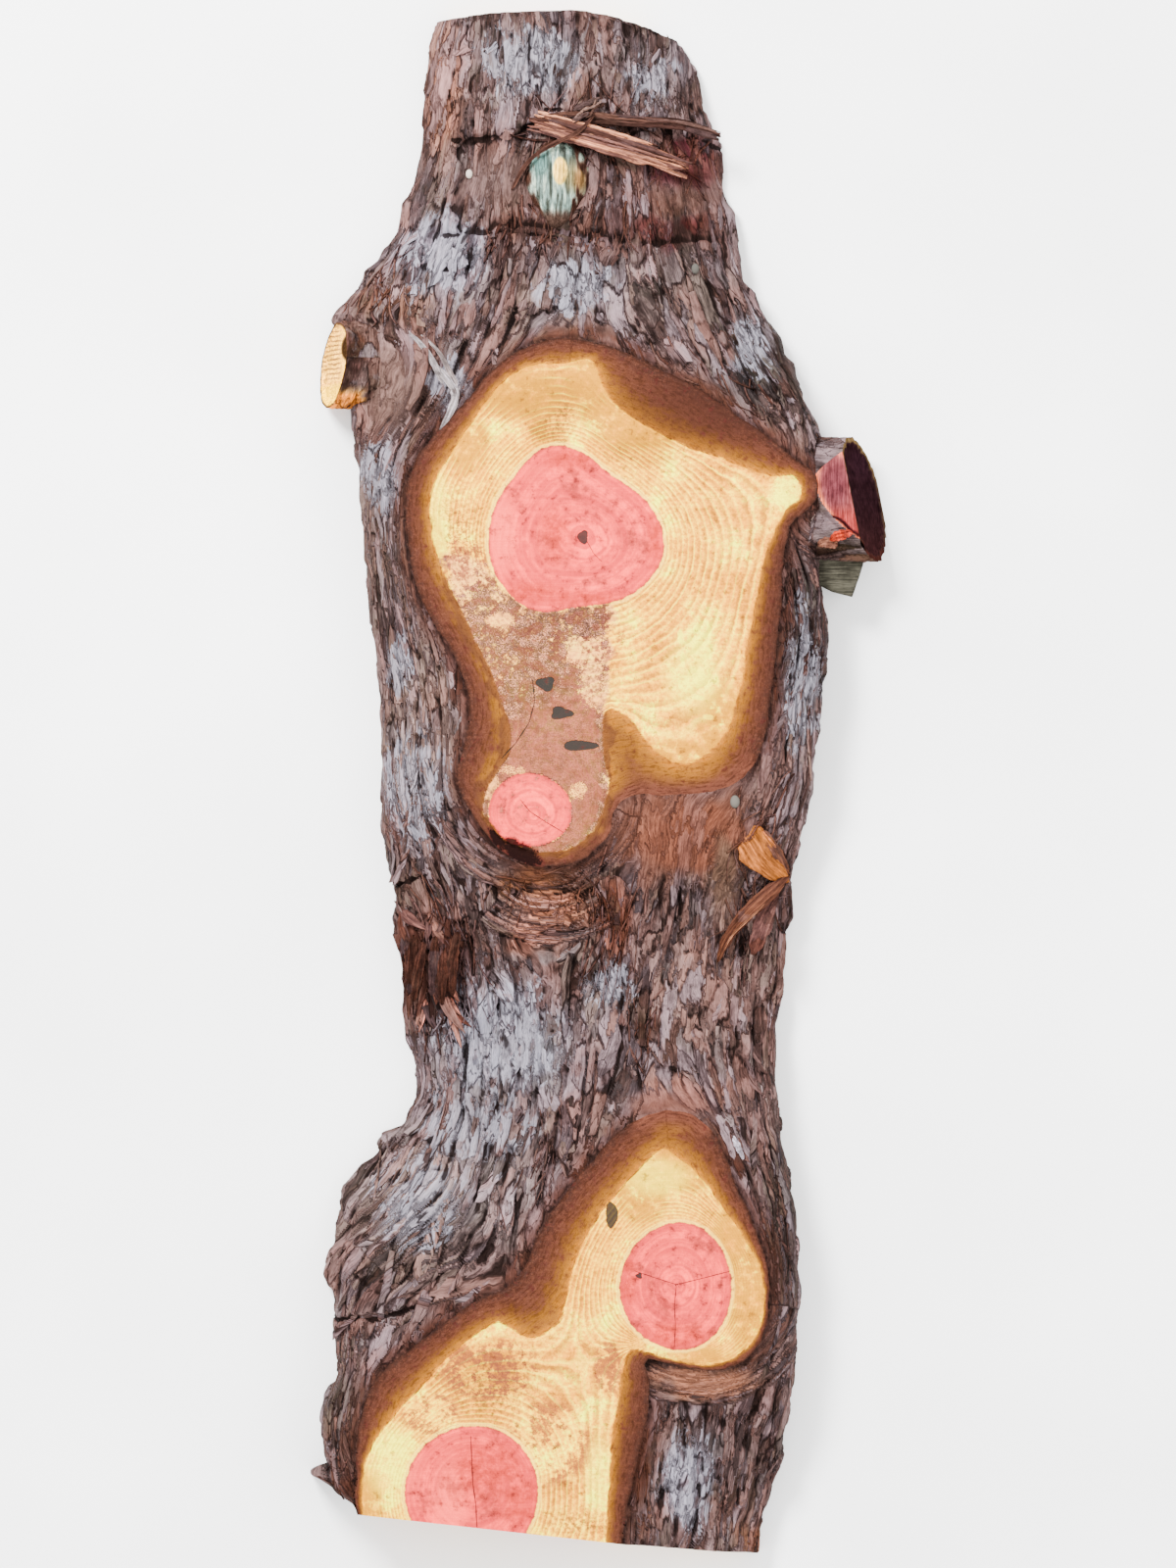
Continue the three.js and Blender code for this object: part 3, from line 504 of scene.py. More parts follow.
class Surface:
    """The log's surface over sketch points: its smooth height, its lean and where the windows are."""

    def __init__(self, x, y):
        self.x, self.y = x, y
        to_left, to_right = to_line(x, y, LEFT_EDGE) * PITCH, to_line(x, y, RIGHT_EDGE) * PITCH
        self.edge = np.minimum(to_left, to_right)
        self.side = np.where(to_left < to_right, -1.0, 1.0)
        self.lean = 1 - np.clip(self.edge / EDGE_ROUND, 0, 1)
        self.window = window_at(x, y)
        self.height = self.find_height()
        self.grain = grain(x, y)
        slope = np.maximum(1e-4, grain(x + 1, y) - grain(x - 1, y))
        room = 2 * PITCH / (STRIP_COUNT * slope) / STRIP_WIDTH
        self.still = smooth(1.9, 3.2, room)
        self.room = np.clip(room, 0, 1) * (0.3 + 0.7 * smooth(0, 14, -self.window))
        self.strips = RELIEF * self.room * (strips(self.grain, y * PITCH) - 0.4)

    def find_height(self):
        x, y = self.x, self.y
        boss = np.max([rise * spot(x, y, *place) for *place, rise in BOSSES], axis=0)
        ragged = 14 * (rough(x / 15, y / 13, 51) - 0.5)
        inside_torn = [smooth(-1, 4, inside(x, y, outline) + ragged) for outline, _ in TORN]
        self.torn = np.max(inside_torn, axis=0)
        torn = np.max([depth * share for (_, depth), share in zip(TORN, inside_torn)], axis=0)
        swell = SWELL * (2 * noise(x / 95, y / 150, 5) - 1)
        crown = np.interp(y, [c[0] for c in CROWN], [c[1] for c in CROWN]) + swell + boss - torn
        rise = np.where(self.window > 0, 1 + np.minimum(10, self.window), COLLAR_SLOPE * self.window)
        collar = np.minimum(THICKNESS + rise, (THICKNESS + 12) * quarter(self.edge / RIM_ROUND))
        return np.maximum(crown * quarter(self.edge / EDGE_ROUND), collar)

    def points(self, push):
        """Points on the surface, pushed out square to it and kept below the front cut."""
        out = self.side * self.lean * push
        up = self.height + np.sqrt(1 - self.lean**2) * push
        up = np.where(self.edge < 0.01, 0, np.minimum(up, THICKNESS))
        return joined(planx(self.x) + out, plany(self.y), up)


# Fine bark: overlapping plates in flow coordinates, millimetres across and along the grain

ARC_IN = np.concatenate([np.linspace(0, EDGE_ROUND, 500), [600.0]])
ARC_UP = CROWN_HEIGHT * quarter(ARC_IN / EDGE_ROUND)
ARC = np.concatenate([[0], np.cumsum(np.hypot(np.diff(ARC_IN), np.diff(ARC_UP)))])
# Layers of plates: width, length, height and seed
BROAD_PLATES = [(23, 60, 3.0, 101), (14, 34, 2.2, 111), (7, 17, 0.8, 121)]
STRINGY_PLATES = [(10, 84, 3.0, 151), (6, 52, 2.4, 161), (3.4, 30, 1.4, 171)]


def flow_across(value):
    """Way across the bark over the rounded edges, for a value of the grain."""
    half = np.interp(FLOW_WIDTH / 2, ARC_IN, ARC)
    near = np.interp(FLOW_WIDTH * np.minimum(value, 1 - value), ARC_IN, ARC)
    return np.where(value < 0.5, near, 2 * half - near)


def plates(across_mm, along_mm, wide, long, seed):
    """One layer of broken plates: height 0 to 1, and a random number for each plate."""
    a = across_mm / wide + 1.3 * noise(across_mm / (2.5 * wide), along_mm / (2 * long), seed)
    i = np.floor(a)
    ragged = 0.35 * noise(across_mm / 1.7, along_mm / 30, seed + 1)
    ragged = ragged + 0.2 * noise(across_mm / 0.7, along_mm / 9, seed + 2)
    b = along_mm / long + 7 * chance(i, 0 * i, seed + 3) + ragged
    j = np.floor(b)
    own = chance(i, j, seed + 4)
    tilt = chance(i, j, seed + 5) - 0.5
    beside = np.minimum(1, 5 * np.minimum(a - i, i + 1 - a)) * (1 + tilt * (a - i - 0.5))
    length = np.minimum(1, np.minimum(0.35 + 0.75 * (b - j), 10 * (j + 1 - b)))
    return (0.25 + 0.75 * own) * beside * length, chance(i, j, seed + 6)


def layered(u, v, layers):
    """The highest of several layers of plates, and that plate's random number."""
    push, tone = np.zeros_like(u), np.full_like(u, 0.5)
    for wide, long, amount, seed in layers:
        high, own = plates(u, v, wide, long, seed)
        high = high * amount
        tone = np.where(high > push, own, tone)
        push = np.maximum(push, high)
    return push, tone


def swept(x, y):
    """How far the long strings beside the lower window drift to the left edge."""
    above = smooth(2, -2, y - np.interp(x, [340, 410, 480], [1347, 1338, 1318]))
    return 55 * smooth(1195, 1350, y) * smooth(530, 420, x) * above


def gashes(x, y):
    """1 in the dark breaks that cross the grain, 0 away from them."""
    far = np.min([to_line(x, y, line) for line in GASHES], axis=0)
    return smooth(3.4, 0.6, far + 5 * (rough(x / 7, y / 7, 231) - 0.42))


def in_arcs(x, y, u, v):
    """Flow coordinates turned into arcs where the bark wrinkles below a knot; and where that is."""
    share = np.zeros(np.shape(x))
    for at_x, at_y, near, far, narrow in ARCS:
        dx, dy = x - at_x, y - at_y
        r = np.hypot(dx, dy)
        edge = 8 * (noise(x / 14, y / 14, 221) - 0.5)
        within = (dy > narrow * r + edge) & (r > near - 12) & (r < far + edge)
        u = np.where(within, 1.7 * PITCH * r + 900, u)
        v = np.where(within, PITCH * r * np.arctan2(dx, dy), v)
        share = np.where(within, 1.0, share)
    return u, v, share


def fine_bark(surface):
    """What the fine plates add to the bark in millimetres, their tone, and flow coordinates."""
    x, y = surface.x, surface.y
    u = flow_across(surface.grain) + 9 * (rough(x / 24, y / 40, 71) - 0.5) + swept(x, y)
    u, v, arcs = in_arcs(x, y, u, y * PITCH)
    stringy = smooth(0.25, 0.6, among(x, y, STRINGY) + 0.5 * (rough(x / 20, y / 60, 181) - 0.5))
    stringy = np.maximum(stringy, arcs)
    broad_push, broad_tone = layered(u, v, BROAD_PLATES)
    stringy_push, stringy_tone = layered(u, v, STRINGY_PLATES)
    push = (1 - stringy) * broad_push + stringy * stringy_push
    tone = np.where(stringy > 0.5, stringy_tone, np.where(1 - stringy > 0.5, broad_tone, 0.5))
    push -= 1.0 * smooth(0.66, 0.72, rough(u / 7, v / 16, 191, 2))
    push += 0.8 * (rough(u / 2.6, v / 22, 131, 2) - 0.5)
    push += 1.4 * (rough(x / 11, y / 14, 141, 2) - 0.5)
    push -= 2.6 * gashes(x, y)
    room = 0.35 + 0.65 * np.clip(surface.room * 1.3, 0, 1)
    room = room * (1 - 0.5 * surface.torn) * (1 - 0.72 * among(x, y, SMOOTH))
    return (push - 1.4) * room, tone, u, v


def blurred(field, reach):
    """A box blur over grid neighbours, done twice."""
    for axis in (0, 1, 0, 1):
        n = field.shape[axis]
        pad = [(0, 0), (0, 0)]
        pad[axis] = (reach + 1, reach)
        total = np.cumsum(np.pad(field, pad, mode="edge"), axis=axis)
        low = np.take(total, range(0, n), axis=axis)
        high = np.take(total, range(2 * reach + 1, n + 2 * reach + 1), axis=axis)
        field = (high - low) / (2 * reach + 1)
    return field


# Faces between points

def grid_faces(rows, columns, window=None):
    """Triangles of a grid; where a square's corner lies in a window, it is cut the other way."""
    n = (np.arange(rows)[:, None] * (columns + 1) + np.arange(columns)[None, :]).ravel()
    a, b, c, d = n, n + 1, n + columns + 1, n + columns + 2
    swap = np.zeros(n.shape, bool) if window is None else window.ravel()[a] * window.ravel()[d] < 0
    one = np.where(swap[:, None], joined(a, c, b), joined(a, c, d))
    two = np.where(swap[:, None], joined(b, c, d), joined(a, d, b))
    return np.concatenate([one, two])


def ring_faces(rings, sides):
    """Triangles between closed rings of points, two to each square: (rings - 1, sides, 2, 3)."""
    ring, k = np.arange(rings - 1)[:, None] * sides, np.arange(sides)
    a, b = ring + k, ring + (k + 1) % sides
    return np.stack([joined(a, b, b + sides), joined(a, b + sides, a + sides)], 2)


def tube_faces(count, stations, sides):
    """Triangles of closed tubes, their ends with them."""
    start = np.array([[0, i + 1, i] for i in range(1, sides - 1)])
    end = start[:, ::-1] + (stations - 1) * sides
    one = np.concatenate([ring_faces(stations, sides).reshape(-1, 3), start, end])
    shift = np.arange(count)[:, None, None] * stations * sides
    return (one[None] + shift).reshape(-1, 3)


# Making pieces

# Of the values that a piece's points carry for its material, these hold three numbers and all others one
VECTORS = ("flow", "tint", "place")


def ship(piece, replaces=False):
    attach(piece, "root")
    if replaces:
        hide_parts("slab")


def add_piece(name, points, faces, material, values, smooth_faces=True, replaces=False):
    """A piece from millimetre points, with the values per point that its material reads."""
    used, corners = np.unique(faces, return_inverse=True)
    mesh = bpy.data.meshes.new(name)
    mesh.from_pydata((points.reshape(-1, 3)[used] / 1000).tolist(), [], corners.reshape(-1, 3).tolist())
    for key, value in values.items():
        shape, width, kind, field = points.shape[:-1], 1, "FLOAT", "value"
        if key in VECTORS:
            shape, width, kind, field = points.shape, 3, "FLOAT_VECTOR", "vector"
        data = np.broadcast_to(value, shape).reshape(-1, width)[used].astype(np.float32)
        mesh.attributes.new(key, kind, "POINT").data.foreach_set(field, data.ravel())
    mesh.polygons.foreach_set("use_smooth", [smooth_faces] * len(mesh.polygons))
    mesh.materials.append(material)
    mesh.update()
    piece = bpy.data.objects.new(name, mesh)
    bpy.context.scene.collection.objects.link(piece)
    ship(piece, replaces)


# Paints

def paint(rgb):
    """The paint that looks like a colour (0 to 255) in the studio's light and the picture's tone curve."""
    x = np.linspace(0, 1, 500)
    curve = 15.5 * x**6 - 40.14 * x**5 + 31.96 * x**4 - 6.868 * x**3 + 0.4298 * x**2 + 0.1191 * x - 0.00232
    stops = np.interp(np.asarray(rgb, float) / 255 @ CHANNEL_MIX.T, curve, x)
    light = 2 ** (16.5 * stops - 12.474) @ np.linalg.inv(CHANNEL_MIX).T
    return np.clip(light / STUDIO_LIGHT, 0.0012, 0.92)


def blend(base, *layers):
    """A paint per point: a colour, then each further colour by its share."""
    shade = np.full(np.shape(layers[0][0]) + (3,), base, float)
    for share, rgb in layers:
        shade += share[..., None] * (np.array(rgb, float) - shade)
    return paint(shade)


def place_colours(x, y):
    """The bark's paint by place, and how much pale lichen lies there."""
    x, y = x + 26 * (rough(x / 22, y / 30, 201) - 0.5), y + 36 * (rough(x / 22, y / 30, 211) - 0.5)
    layers = []
    for at_x, at_y, half_x, half_y, rgb, share in PLACES:
        far = np.hypot((x - at_x) / half_x, (y - at_y) / half_y)
        layers.append((share * (1 - smooth(0.35, 1.05, far)), rgb))
    return blend(BARK, *layers), among(x, y, PALE)


# Node materials

class Value:
    """A node's output, that can be added, subtracted and multiplied."""

    def __init__(self, shader, socket):
        self.shader, self.socket = shader, socket

    def __add__(self, other):
        return self.shader.math("ADD", self, other)

    def __sub__(self, other):
        return self.shader.math("SUBTRACT", self, other)

    def __mul__(self, other):
        return self.shader.math("MULTIPLY", self, other)


class Shader:
    """Builds a node material step by step."""

    def __init__(self, name):
        self.material = bpy.data.materials.new(name)
        self.material.use_nodes = True
        self.tree = self.material.node_tree

    def feed(self, made, inputs):
        """Links a node's inputs to values, or sets them to numbers."""
        for key, value in inputs.items():
            if isinstance(value, Value):
                self.tree.links.new(value.socket, made.inputs[key])
            else:
                made.inputs[key].default_value = value

    def node(self, kind, inputs, out=0, **settings):
        made = self.tree.nodes.new(kind)
        for key, value in settings.items():
            setattr(made, key, value)
        self.feed(made, inputs)
        return Value(self, made.outputs[out])

    def read(self, *names):
        """What the points of a piece carry under some names."""
        made = [("Vector" if name in VECTORS else "Fac", name) for name in names]
        return [self.node("ShaderNodeAttribute", {}, out, attribute_name=name) for out, name in made]

    def math(self, operation, *terms):
        return self.node("ShaderNodeMath", dict(enumerate(terms)), operation=operation)

    def step(self, value, low, high, to_low=0.0, to_high=1.0):
        inputs = {"Value": value, "From Min": low, "From Max": high, "To Min": to_low, "To Max": to_high}
        return self.node("ShaderNodeMapRange", inputs, interpolation_type="SMOOTHSTEP")

    def joined(self, *parts):
        return self.node("ShaderNodeCombineXYZ", dict(enumerate(parts)))

    def scaled(self, vector, x, y, z=1.0, shift=(0, 0, 0)):
        return self.node("ShaderNodeMapping", {"Vector": vector, "Location": shift, "Scale": (x, y, z)})

    def noise(self, vector, scale, detail=3.0, roughness=0.55, distortion=0.0):
        keys = ("Vector", "Scale", "Detail", "Roughness", "Distortion")
        inputs = dict(zip(keys, (vector, scale, detail, roughness, distortion)))
        return self.node("ShaderNodeTexNoise", inputs)

    def warp(self, vector, by, x, y):
        """Shifts a vector by noise read at another, up to x and y either way."""
        shift = self.node("ShaderNodeTexNoise", {"Vector": by, "Scale": 1.0, "Detail": 2.0}, 1)
        centred = self.node("ShaderNodeVectorMath", {0: shift, 1: (0.5, 0.5, 0.5)}, operation="SUBTRACT")
        inputs = {0: centred, 1: (2 * x, 2 * y, 0), 2: vector}
        return self.node("ShaderNodeVectorMath", inputs, operation="MULTIPLY_ADD")

    def cells(self, vector):
        """For irregular cells, three random numbers of each and the distance to their edges."""
        inputs = {"Vector": vector, "Scale": 1.0}
        split = self.node("ShaderNodeSeparateColor", {0: self.node("ShaderNodeTexVoronoi", inputs, 1)})
        numbers = [Value(self, socket) for socket in split.socket.node.outputs]
        return *numbers, self.node("ShaderNodeTexVoronoi", inputs, feature="DISTANCE_TO_EDGE")

    def mix(self, share, a, b, blend_type="MIX"):
        a, b = (shade if isinstance(shade, Value) else (*paint(shade), 1.0) for shade in (a, b))
        return self.node("ShaderNodeMix", {0: share, 6: a, 7: b}, 2, data_type="RGBA", blend_type=blend_type)

    def over(self, shade, *layers):
        """A shade with further ones laid over it, each by its share."""
        for share, layer in layers:
            shade = self.mix(share, shade, layer)
        return shade

    def lighten(self, shade, amount):
        grey = self.node("ShaderNodeCombineColor", {0: amount, 1: amount, 2: amount})
        return self.mix(1.0, shade, grey, "MULTIPLY")

    def ramp(self, value, *stops):
        made = self.node("ShaderNodeValToRGB", {0: value})
        points = made.socket.node.color_ramp.elements
        while len(points) < len(stops):
            points.new(0.5)
        for point, (at, shade) in zip(points, stops):
            point.position, point.color = at, (*paint(shade), 1.0)
        return made

    def finish(self, shade, roughness, height, depth, shine=0.0):
        """Ends the material with a bump of some depth in metres."""
        normal = self.node("ShaderNodeBump", {"Height": height, "Distance": depth, "Strength": 1.0})
        inputs = {"Base Color": shade, "Roughness": roughness, "Specular IOR Level": shine, "Normal": normal}
        self.feed(self.tree.nodes["Principled BSDF"], inputs)
        return self.material


def bark_material():
    s = Shader("bark")
    flow, tint = s.read("flow", "tint")
    tone, painted_shade, fresh, pale, calm = s.read("tone", "painted_shade", "fresh", "pale", "calm")
    rugged = s.step(calm, 0.9, 0.1, 0.2, 1.0)
    bent = s.warp(flow, s.scaled(flow, 0.1, 0.03), 4.0, 14.0)
    bent = s.warp(bent, s.scaled(flow, 0.6, 0.16), 1.1, 3.6)
    chip, chip_2, chip_3, gaps = s.cells(s.scaled(bent, 0.044, 0.019))
    bit, bit_2, _, slits = s.cells(s.scaled(bent, 0.11, 0.05, 1, (5, 9, 0)))
    fibres = s.noise(s.scaled(flow, 0.8, 0.05), 1.0, 4, 0.6, 0.2)
    fine = s.noise(s.scaled(flow, 2.0, 0.28, 1, (7, 3, 0)), 1.0, 4, 0.65)
    patches = s.noise(s.scaled(flow, 0.06, 0.03, 1, (31, 5, 0)), 1.0, 5, 0.65)
    blots = s.noise(s.scaled(flow, 0.2, 0.09, 1, (3, 47, 0)), 1.0, 5, 0.7)
    lichen = s.noise(s.scaled(bent, 0.1, 0.05, 1, (13, 17, 0)), 1.0, 5, 0.66)
    hues = s.noise(s.scaled(flow, 0.024, 0.015, 1, (61, 11, 0)), 1.0, 4, 0.6)
    gaps = s.step(gaps, 0.045, 0.012) * s.step(patches, 0.62, 0.45) * rugged
    slits = s.step(slits, 0.05, 0.015) * s.step(blots, 0.46, 0.58) * rugged
    shade = s.over(
        tint,
        (s.step(chip_2, 0.62, 0.72) * 0.45 * rugged, (184, 172, 178)),
        (s.step(chip_2 + patches * 0.3, 0.5, 0.36) * rugged * 0.32, (176, 132, 114)),
        (s.step(chip_3, 0.9, 0.94) * rugged * 0.4, (128, 92, 80)),
        (s.step(hues, 0.51, 0.6) * rugged * 0.4, (178, 138, 130)),
        (s.step(hues, 0.47, 0.4) * rugged * 0.4, (138, 128, 114)),
    )
    light = ((chip - 0.5) * 0.55 + (bit - 0.5) * 0.3 + (tone - 0.5) * 0.4) * rugged
    light = light + (fibres - 0.5) * 1.3 + (blots - 0.5) * 1.3
    shade = s.lighten(shade, s.step(light, -0.5, 0.5, 0.25, 1.74))
    scoops = s.step(bit_2, 0.84, 0.88) * s.step(blots, 0.44, 0.54)
    lit = lichen + (bit - 0.5) * 0.12 + (pale - 0.5) * 0.22
    lit = s.step(lit, 0.515, 0.555) * s.step(pale, 0.0, 0.5)
    shade = s.over(
        shade,
        (scoops * 0.6, (112, 78, 68)),
        (lit * 0.7, s.lighten((204, 202, 208), s.step(fibres, 0.3, 0.7, 0.7, 1.2))),
        (fresh * s.step(fibres, 0.3, 0.7, 0.5, 0.95), (144, 88, 68)),
    )
    shade = s.lighten(shade, s.step(fine, 0.3, 0.7, 0.8, 1.22))
    # Cracks between plates, and painted shade in hollows and under strands, laid on in near-black brown
    cracks = s.math("MAXIMUM", gaps * 0.9, slits * 0.75)
    shade = s.mix(s.math("MAXIMUM", cracks, s.step(painted_shade, 0.2, 1.5) * 0.94), shade, (46, 27, 22))
    height = chip * 0.9 + bit * 0.45 + fibres * 0.9 + fine * 0.5 + blots * 0.7
    height = height - gaps - slits * 0.6 - scoops * 0.5
    return s.finish(shade, s.step(fine, 0.2, 0.8, 0.74, 0.96), height, 0.0013, 0.02)


# What the points of a sawn face carry: distances in millimetres, ring numbers, and shares from 0 to 1
WOOD_VALUES = (
    "place", "tint", "wood", "band", "rim", "round_rim", "heart", "ring", "crack", "far", "stain", "dark",
    "yellow", "dirt", "soft", "cream", "char", "rusty", "gleam", "ruddy", "shady",
)


def wood_material():
    s = Shader("sawn_wood")
    vars(s).update(zip(WOOD_VALUES, s.read(*WOOD_VALUES)))
    s.broad = s.noise(s.place, 0.03, 4, 0.6)
    s.middle = s.noise(s.place, 0.13, 5, 0.65)
    s.blots = s.noise(s.place, 0.3, 5, 0.7)
    s.specks = s.noise(s.place, 1.0, 4, 0.7)
    s.bent = s.ring + s.broad * 1.2 + s.middle * 0.3
    s.late, s.early = year_rings(s)
    edge = s.heart + (s.middle - 0.5) * 4.5
    pale_ring = s.step(edge, -3.5, -1.2) * s.step(s.stain, 0.35, 0.05)
    shade = s.mix(pale_ring * 0.6, sapwood(s), (254, 236, 192))
    shade = s.mix(s.step(edge, -0.5, 0.5), shade, heartwood(s))
    shade = stained(s, shade, edge)
    run = s.joined(s.rim * 0.55, s.round_rim * 0.09, s.middle * 2.0)
    s.streaks = s.noise(run, 1.0, 5, 0.68)
    border = s.wood + (s.streaks - 0.5) * 5.0
    shade = s.mix(s.step(border, 0.8, -0.8), shade, rind(s))
    line = s.step(s.math("ABSOLUTE", s.crack), 0.75, 0.3) * s.step(s.far, 2.6, 1.6)
    holes = s.math("MAXIMUM", s.step(s.dark + (s.blots - 0.5) * 0.9, 0.4, 0.6), line)
    pores = s.noise(s.scaled(s.place, 1.6, 0.35), 1.0, 3, 0.6)
    marks = s.noise(s.scaled(s.place, 0.015, 0.9), 1.0, 2, 0.5)
    shade = s.lighten(shade, s.step(pores * 0.5 + s.specks * 0.5, 0.36, 0.64, 0.86, 1.08))
    shade = s.lighten(shade, s.step(marks, 0.35, 0.65, 0.95, 1.04))
    burnt = s.char + (s.middle - 0.5) * 2.6 + (s.specks - 0.5) * 0.9
    shade = s.over(
        shade,
        (holes * 0.96, (92, 92, 88)),
        (s.step(holes, 0.9, 0.3) * s.step(holes, 0.05, 0.4) * 0.6, (60, 44, 38)),
        (s.step(burnt, 0.2, 0.45) * 0.55, (146, 74, 68)),
        (s.step(burnt, 0.5, 0.74) * 0.92, (44, 28, 28)),
    )
    shade = s.mix(1.0, shade, s.tint, "MULTIPLY")
    height = pores * 0.35 + s.specks * 0.25 + s.streaks * 0.5 - s.late * 0.25 - holes * 3.0
    height = height * s.step(s.wood, 0.5, -0.5, 1.0, 5.0)
    return s.finish(shade, s.step(s.specks, 0.3, 0.7, 0.5, 0.66), height, 0.0003)


def year_rings(s):
    """Where the dark late wood and the pale early wood of each year lie."""
    saw = s.math("FRACT", s.bent)
    years = s.noise(s.joined(s.bent * 0.8), 1.0, 2)
    clear = s.step(s.noise(s.place, 0.045, 3, 0.6), 0.36, 0.62, 0.5, 1.0)
    clear = clear * s.step(years, 0.4, 0.6, 0.6, 1.1)
    late = s.step(saw, 0.3, 0.8) * s.step(saw, 1.0, 0.92) * clear
    early = s.step(saw, 0.02, 0.12) * s.step(saw, 0.34, 0.16) * clear
    return late, early


def sapwood(s):
    shade = s.ramp(
        s.broad * 0.6 + s.blots * 0.4 - s.gleam * 0.07,
        (0.38, (254, 246, 176)), (0.46, (252, 233, 148)), (0.54, (248, 219, 124)), (0.64, (234, 196, 100)),
    )
    plain = s.step(s.yellow, 0.1, 0.8, 1.0, 0.35) * s.step(s.step(s.rusty, 0.3, 0.9), 0.0, 1.0, 1.0, 0.4)
    shade = s.over(
        shade,
        (s.step(s.yellow, 0.05, 0.6) * s.step(s.middle, 0.34, 0.52, 0.25, 1.0), (240, 208, 84)),
        (s.late * 0.6 * plain, (206, 158, 92)),
        (s.early * 0.5 * s.step(s.yellow, 1.0, 0.2), (255, 244, 190)),
    )
    shade = s.lighten(shade, s.step(s.gleam, -1.0, 0.0, 0.74, 1.0))
    grime = s.step(s.blots + s.specks * 0.3, 0.6, 0.74) * s.dirt
    blushes = s.step(s.broad * 0.45 + s.middle * 0.35 + s.blots * 0.2, 0.485, 0.53)
    blushes = blushes * s.step(s.rusty, 0.05, 0.5)
    return s.over(
        shade,
        (s.step(s.gleam, 0.0, 1.0, 0.0, 0.4), (255, 243, 176)),
        (s.step(s.stain, 0.05, 0.45, 0.0, 0.6), (240, 214, 188)),
        (grime * 0.65 * s.step(s.yellow, 0.5, 0.1), (148, 122, 92)),
        (blushes * s.step(s.specks, 0.35, 0.6, 0.45, 0.8), (204, 132, 116)),
    )


def heartwood(s):
    cloudy = s.broad * 0.5 + s.middle * 0.5
    pink = s.ramp(
        cloudy,
        (0.4, (255, 180, 174)), (0.47, (251, 166, 162)), (0.53, (246, 154, 152)), (0.6, (234, 138, 136)),
    )
    zones = s.noise(s.joined(s.bent * 0.45, s.broad * 2.0), 1.0, 2)
    return s.over(
        pink,
        (s.step(zones, 0.45, 0.56, 0.0, 0.65), (236, 128, 132)),
        (s.gleam * 0.6, (255, 188, 180)),
        (s.late * 0.24, (224, 120, 122)),
        (s.early * 0.12, (255, 196, 186)),
        (s.ruddy * s.step(s.middle, 0.4, 0.58, 0.35, 0.9), (234, 128, 118)),
        (s.step(s.heart, 3.2, 0.4) * 0.5, (232, 130, 120)),
        (s.step(cloudy, 0.53, 0.6) * 0.4, (226, 124, 116)),
        (s.step(s.broad + s.specks * 0.8, 1.0, 1.1) * 0.3, (184, 116, 104)),
    )


def stained(s, shade, edge):
    """The shade with the muddy stain between two hearts laid over it, and scorched dots along the hearts."""
    cover = s.stain + s.middle * 1.9 + s.blots * 0.8 + s.broad * 0.9
    cover = cover + s.cream * s.step(s.specks, 0.4, 0.6, -0.5, -1.1)
    cover = s.step(cover, 1.96, 2.24) * s.step(s.stain, 0.0, 0.2)
    muddy = s.ramp(
        s.middle * 0.4 + s.specks * 0.6,
        (0.43, (84, 66, 62)), (0.48, (136, 108, 102)), (0.53, (184, 150, 138)), (0.585, (240, 212, 190)),
    )
    rust = s.noise(s.scaled(s.place, 0.08, 0.08, 1, (41, 3, 0)), 1.0, 4, 0.6)
    flecks = s.step(s.specks * 0.6 + s.blots * 0.4, 0.5, 0.43) * s.step(s.middle, 0.4, 0.54)
    salmon = s.step(s.specks * 0.5 + s.middle * 0.5, 0.42, 0.56, 0.3, 0.85) * s.step(s.stain, 0.7, 0.98)
    muddy = s.over(
        muddy,
        (s.step(rust, 0.49, 0.54) * 0.75, (164, 84, 84)),
        (flecks * 0.8, (66, 52, 48)), (salmon, (208, 142, 130)),
    )
    muddy = s.lighten(muddy, s.step(s.middle * 0.45 + s.blots * 0.55, 0.4, 0.6, 0.72, 1.16))
    scorched = s.step(s.math("ABSOLUTE", edge + 1.2), 2.6, 0.6) * s.step(s.stain, 0.2, 0.5)
    scorched = scorched * s.step(s.specks, 0.42, 0.56) * s.step(s.stain, 0.95, 0.7)
    return s.over(shade, (cover * 0.9, muddy), (scorched * 0.7, (112, 84, 74)))


def rind(s):
    """The bark cut through, from the wood out to the rim."""
    away = s.band + (s.middle - 0.5) * 0.7 + (s.streaks - 0.5) * 0.7
    away = away * s.step(s.soft, 0.0, 1.0, 1.0, 0.45)
    shade = s.ramp(
        away,
        (0.0, (226, 180, 104)), (0.12, (208, 162, 92)), (0.3, (186, 136, 82)), (0.44, (162, 108, 80)),
        (0.72, (146, 94, 76)), (1.0, (112, 76, 66)),
    )
    chaff = s.step(s.blots + s.specks * 0.6, 0.8, 0.92) * s.step(away, 0.35, 0.6)
    shade = s.over(
        shade,
        (s.step(s.soft, 0.0, 0.6) * s.step(s.band, 0.3, 0.9), (166, 112, 92)),
        (chaff * 0.14, (204, 156, 132)),
    )
    shade = s.lighten(shade, s.step(s.streaks * 0.7 + s.middle * 0.3, 0.38, 0.62, 0.8, 1.34))
    return s.over(
        shade,
        (s.step(s.stain, 0.0, 0.2) * 0.75, (152, 102, 82)),
        (s.shady * 0.62, (120, 74, 62)),
        (s.step(s.streaks + s.blots * 0.6, 0.8, 0.66) * 0.45, (104, 62, 48)),
        (s.step(s.rim, 1.8, 0.2) * 0.35 * s.step(s.soft, 0.6, 0.0), (72, 46, 38)),
    )


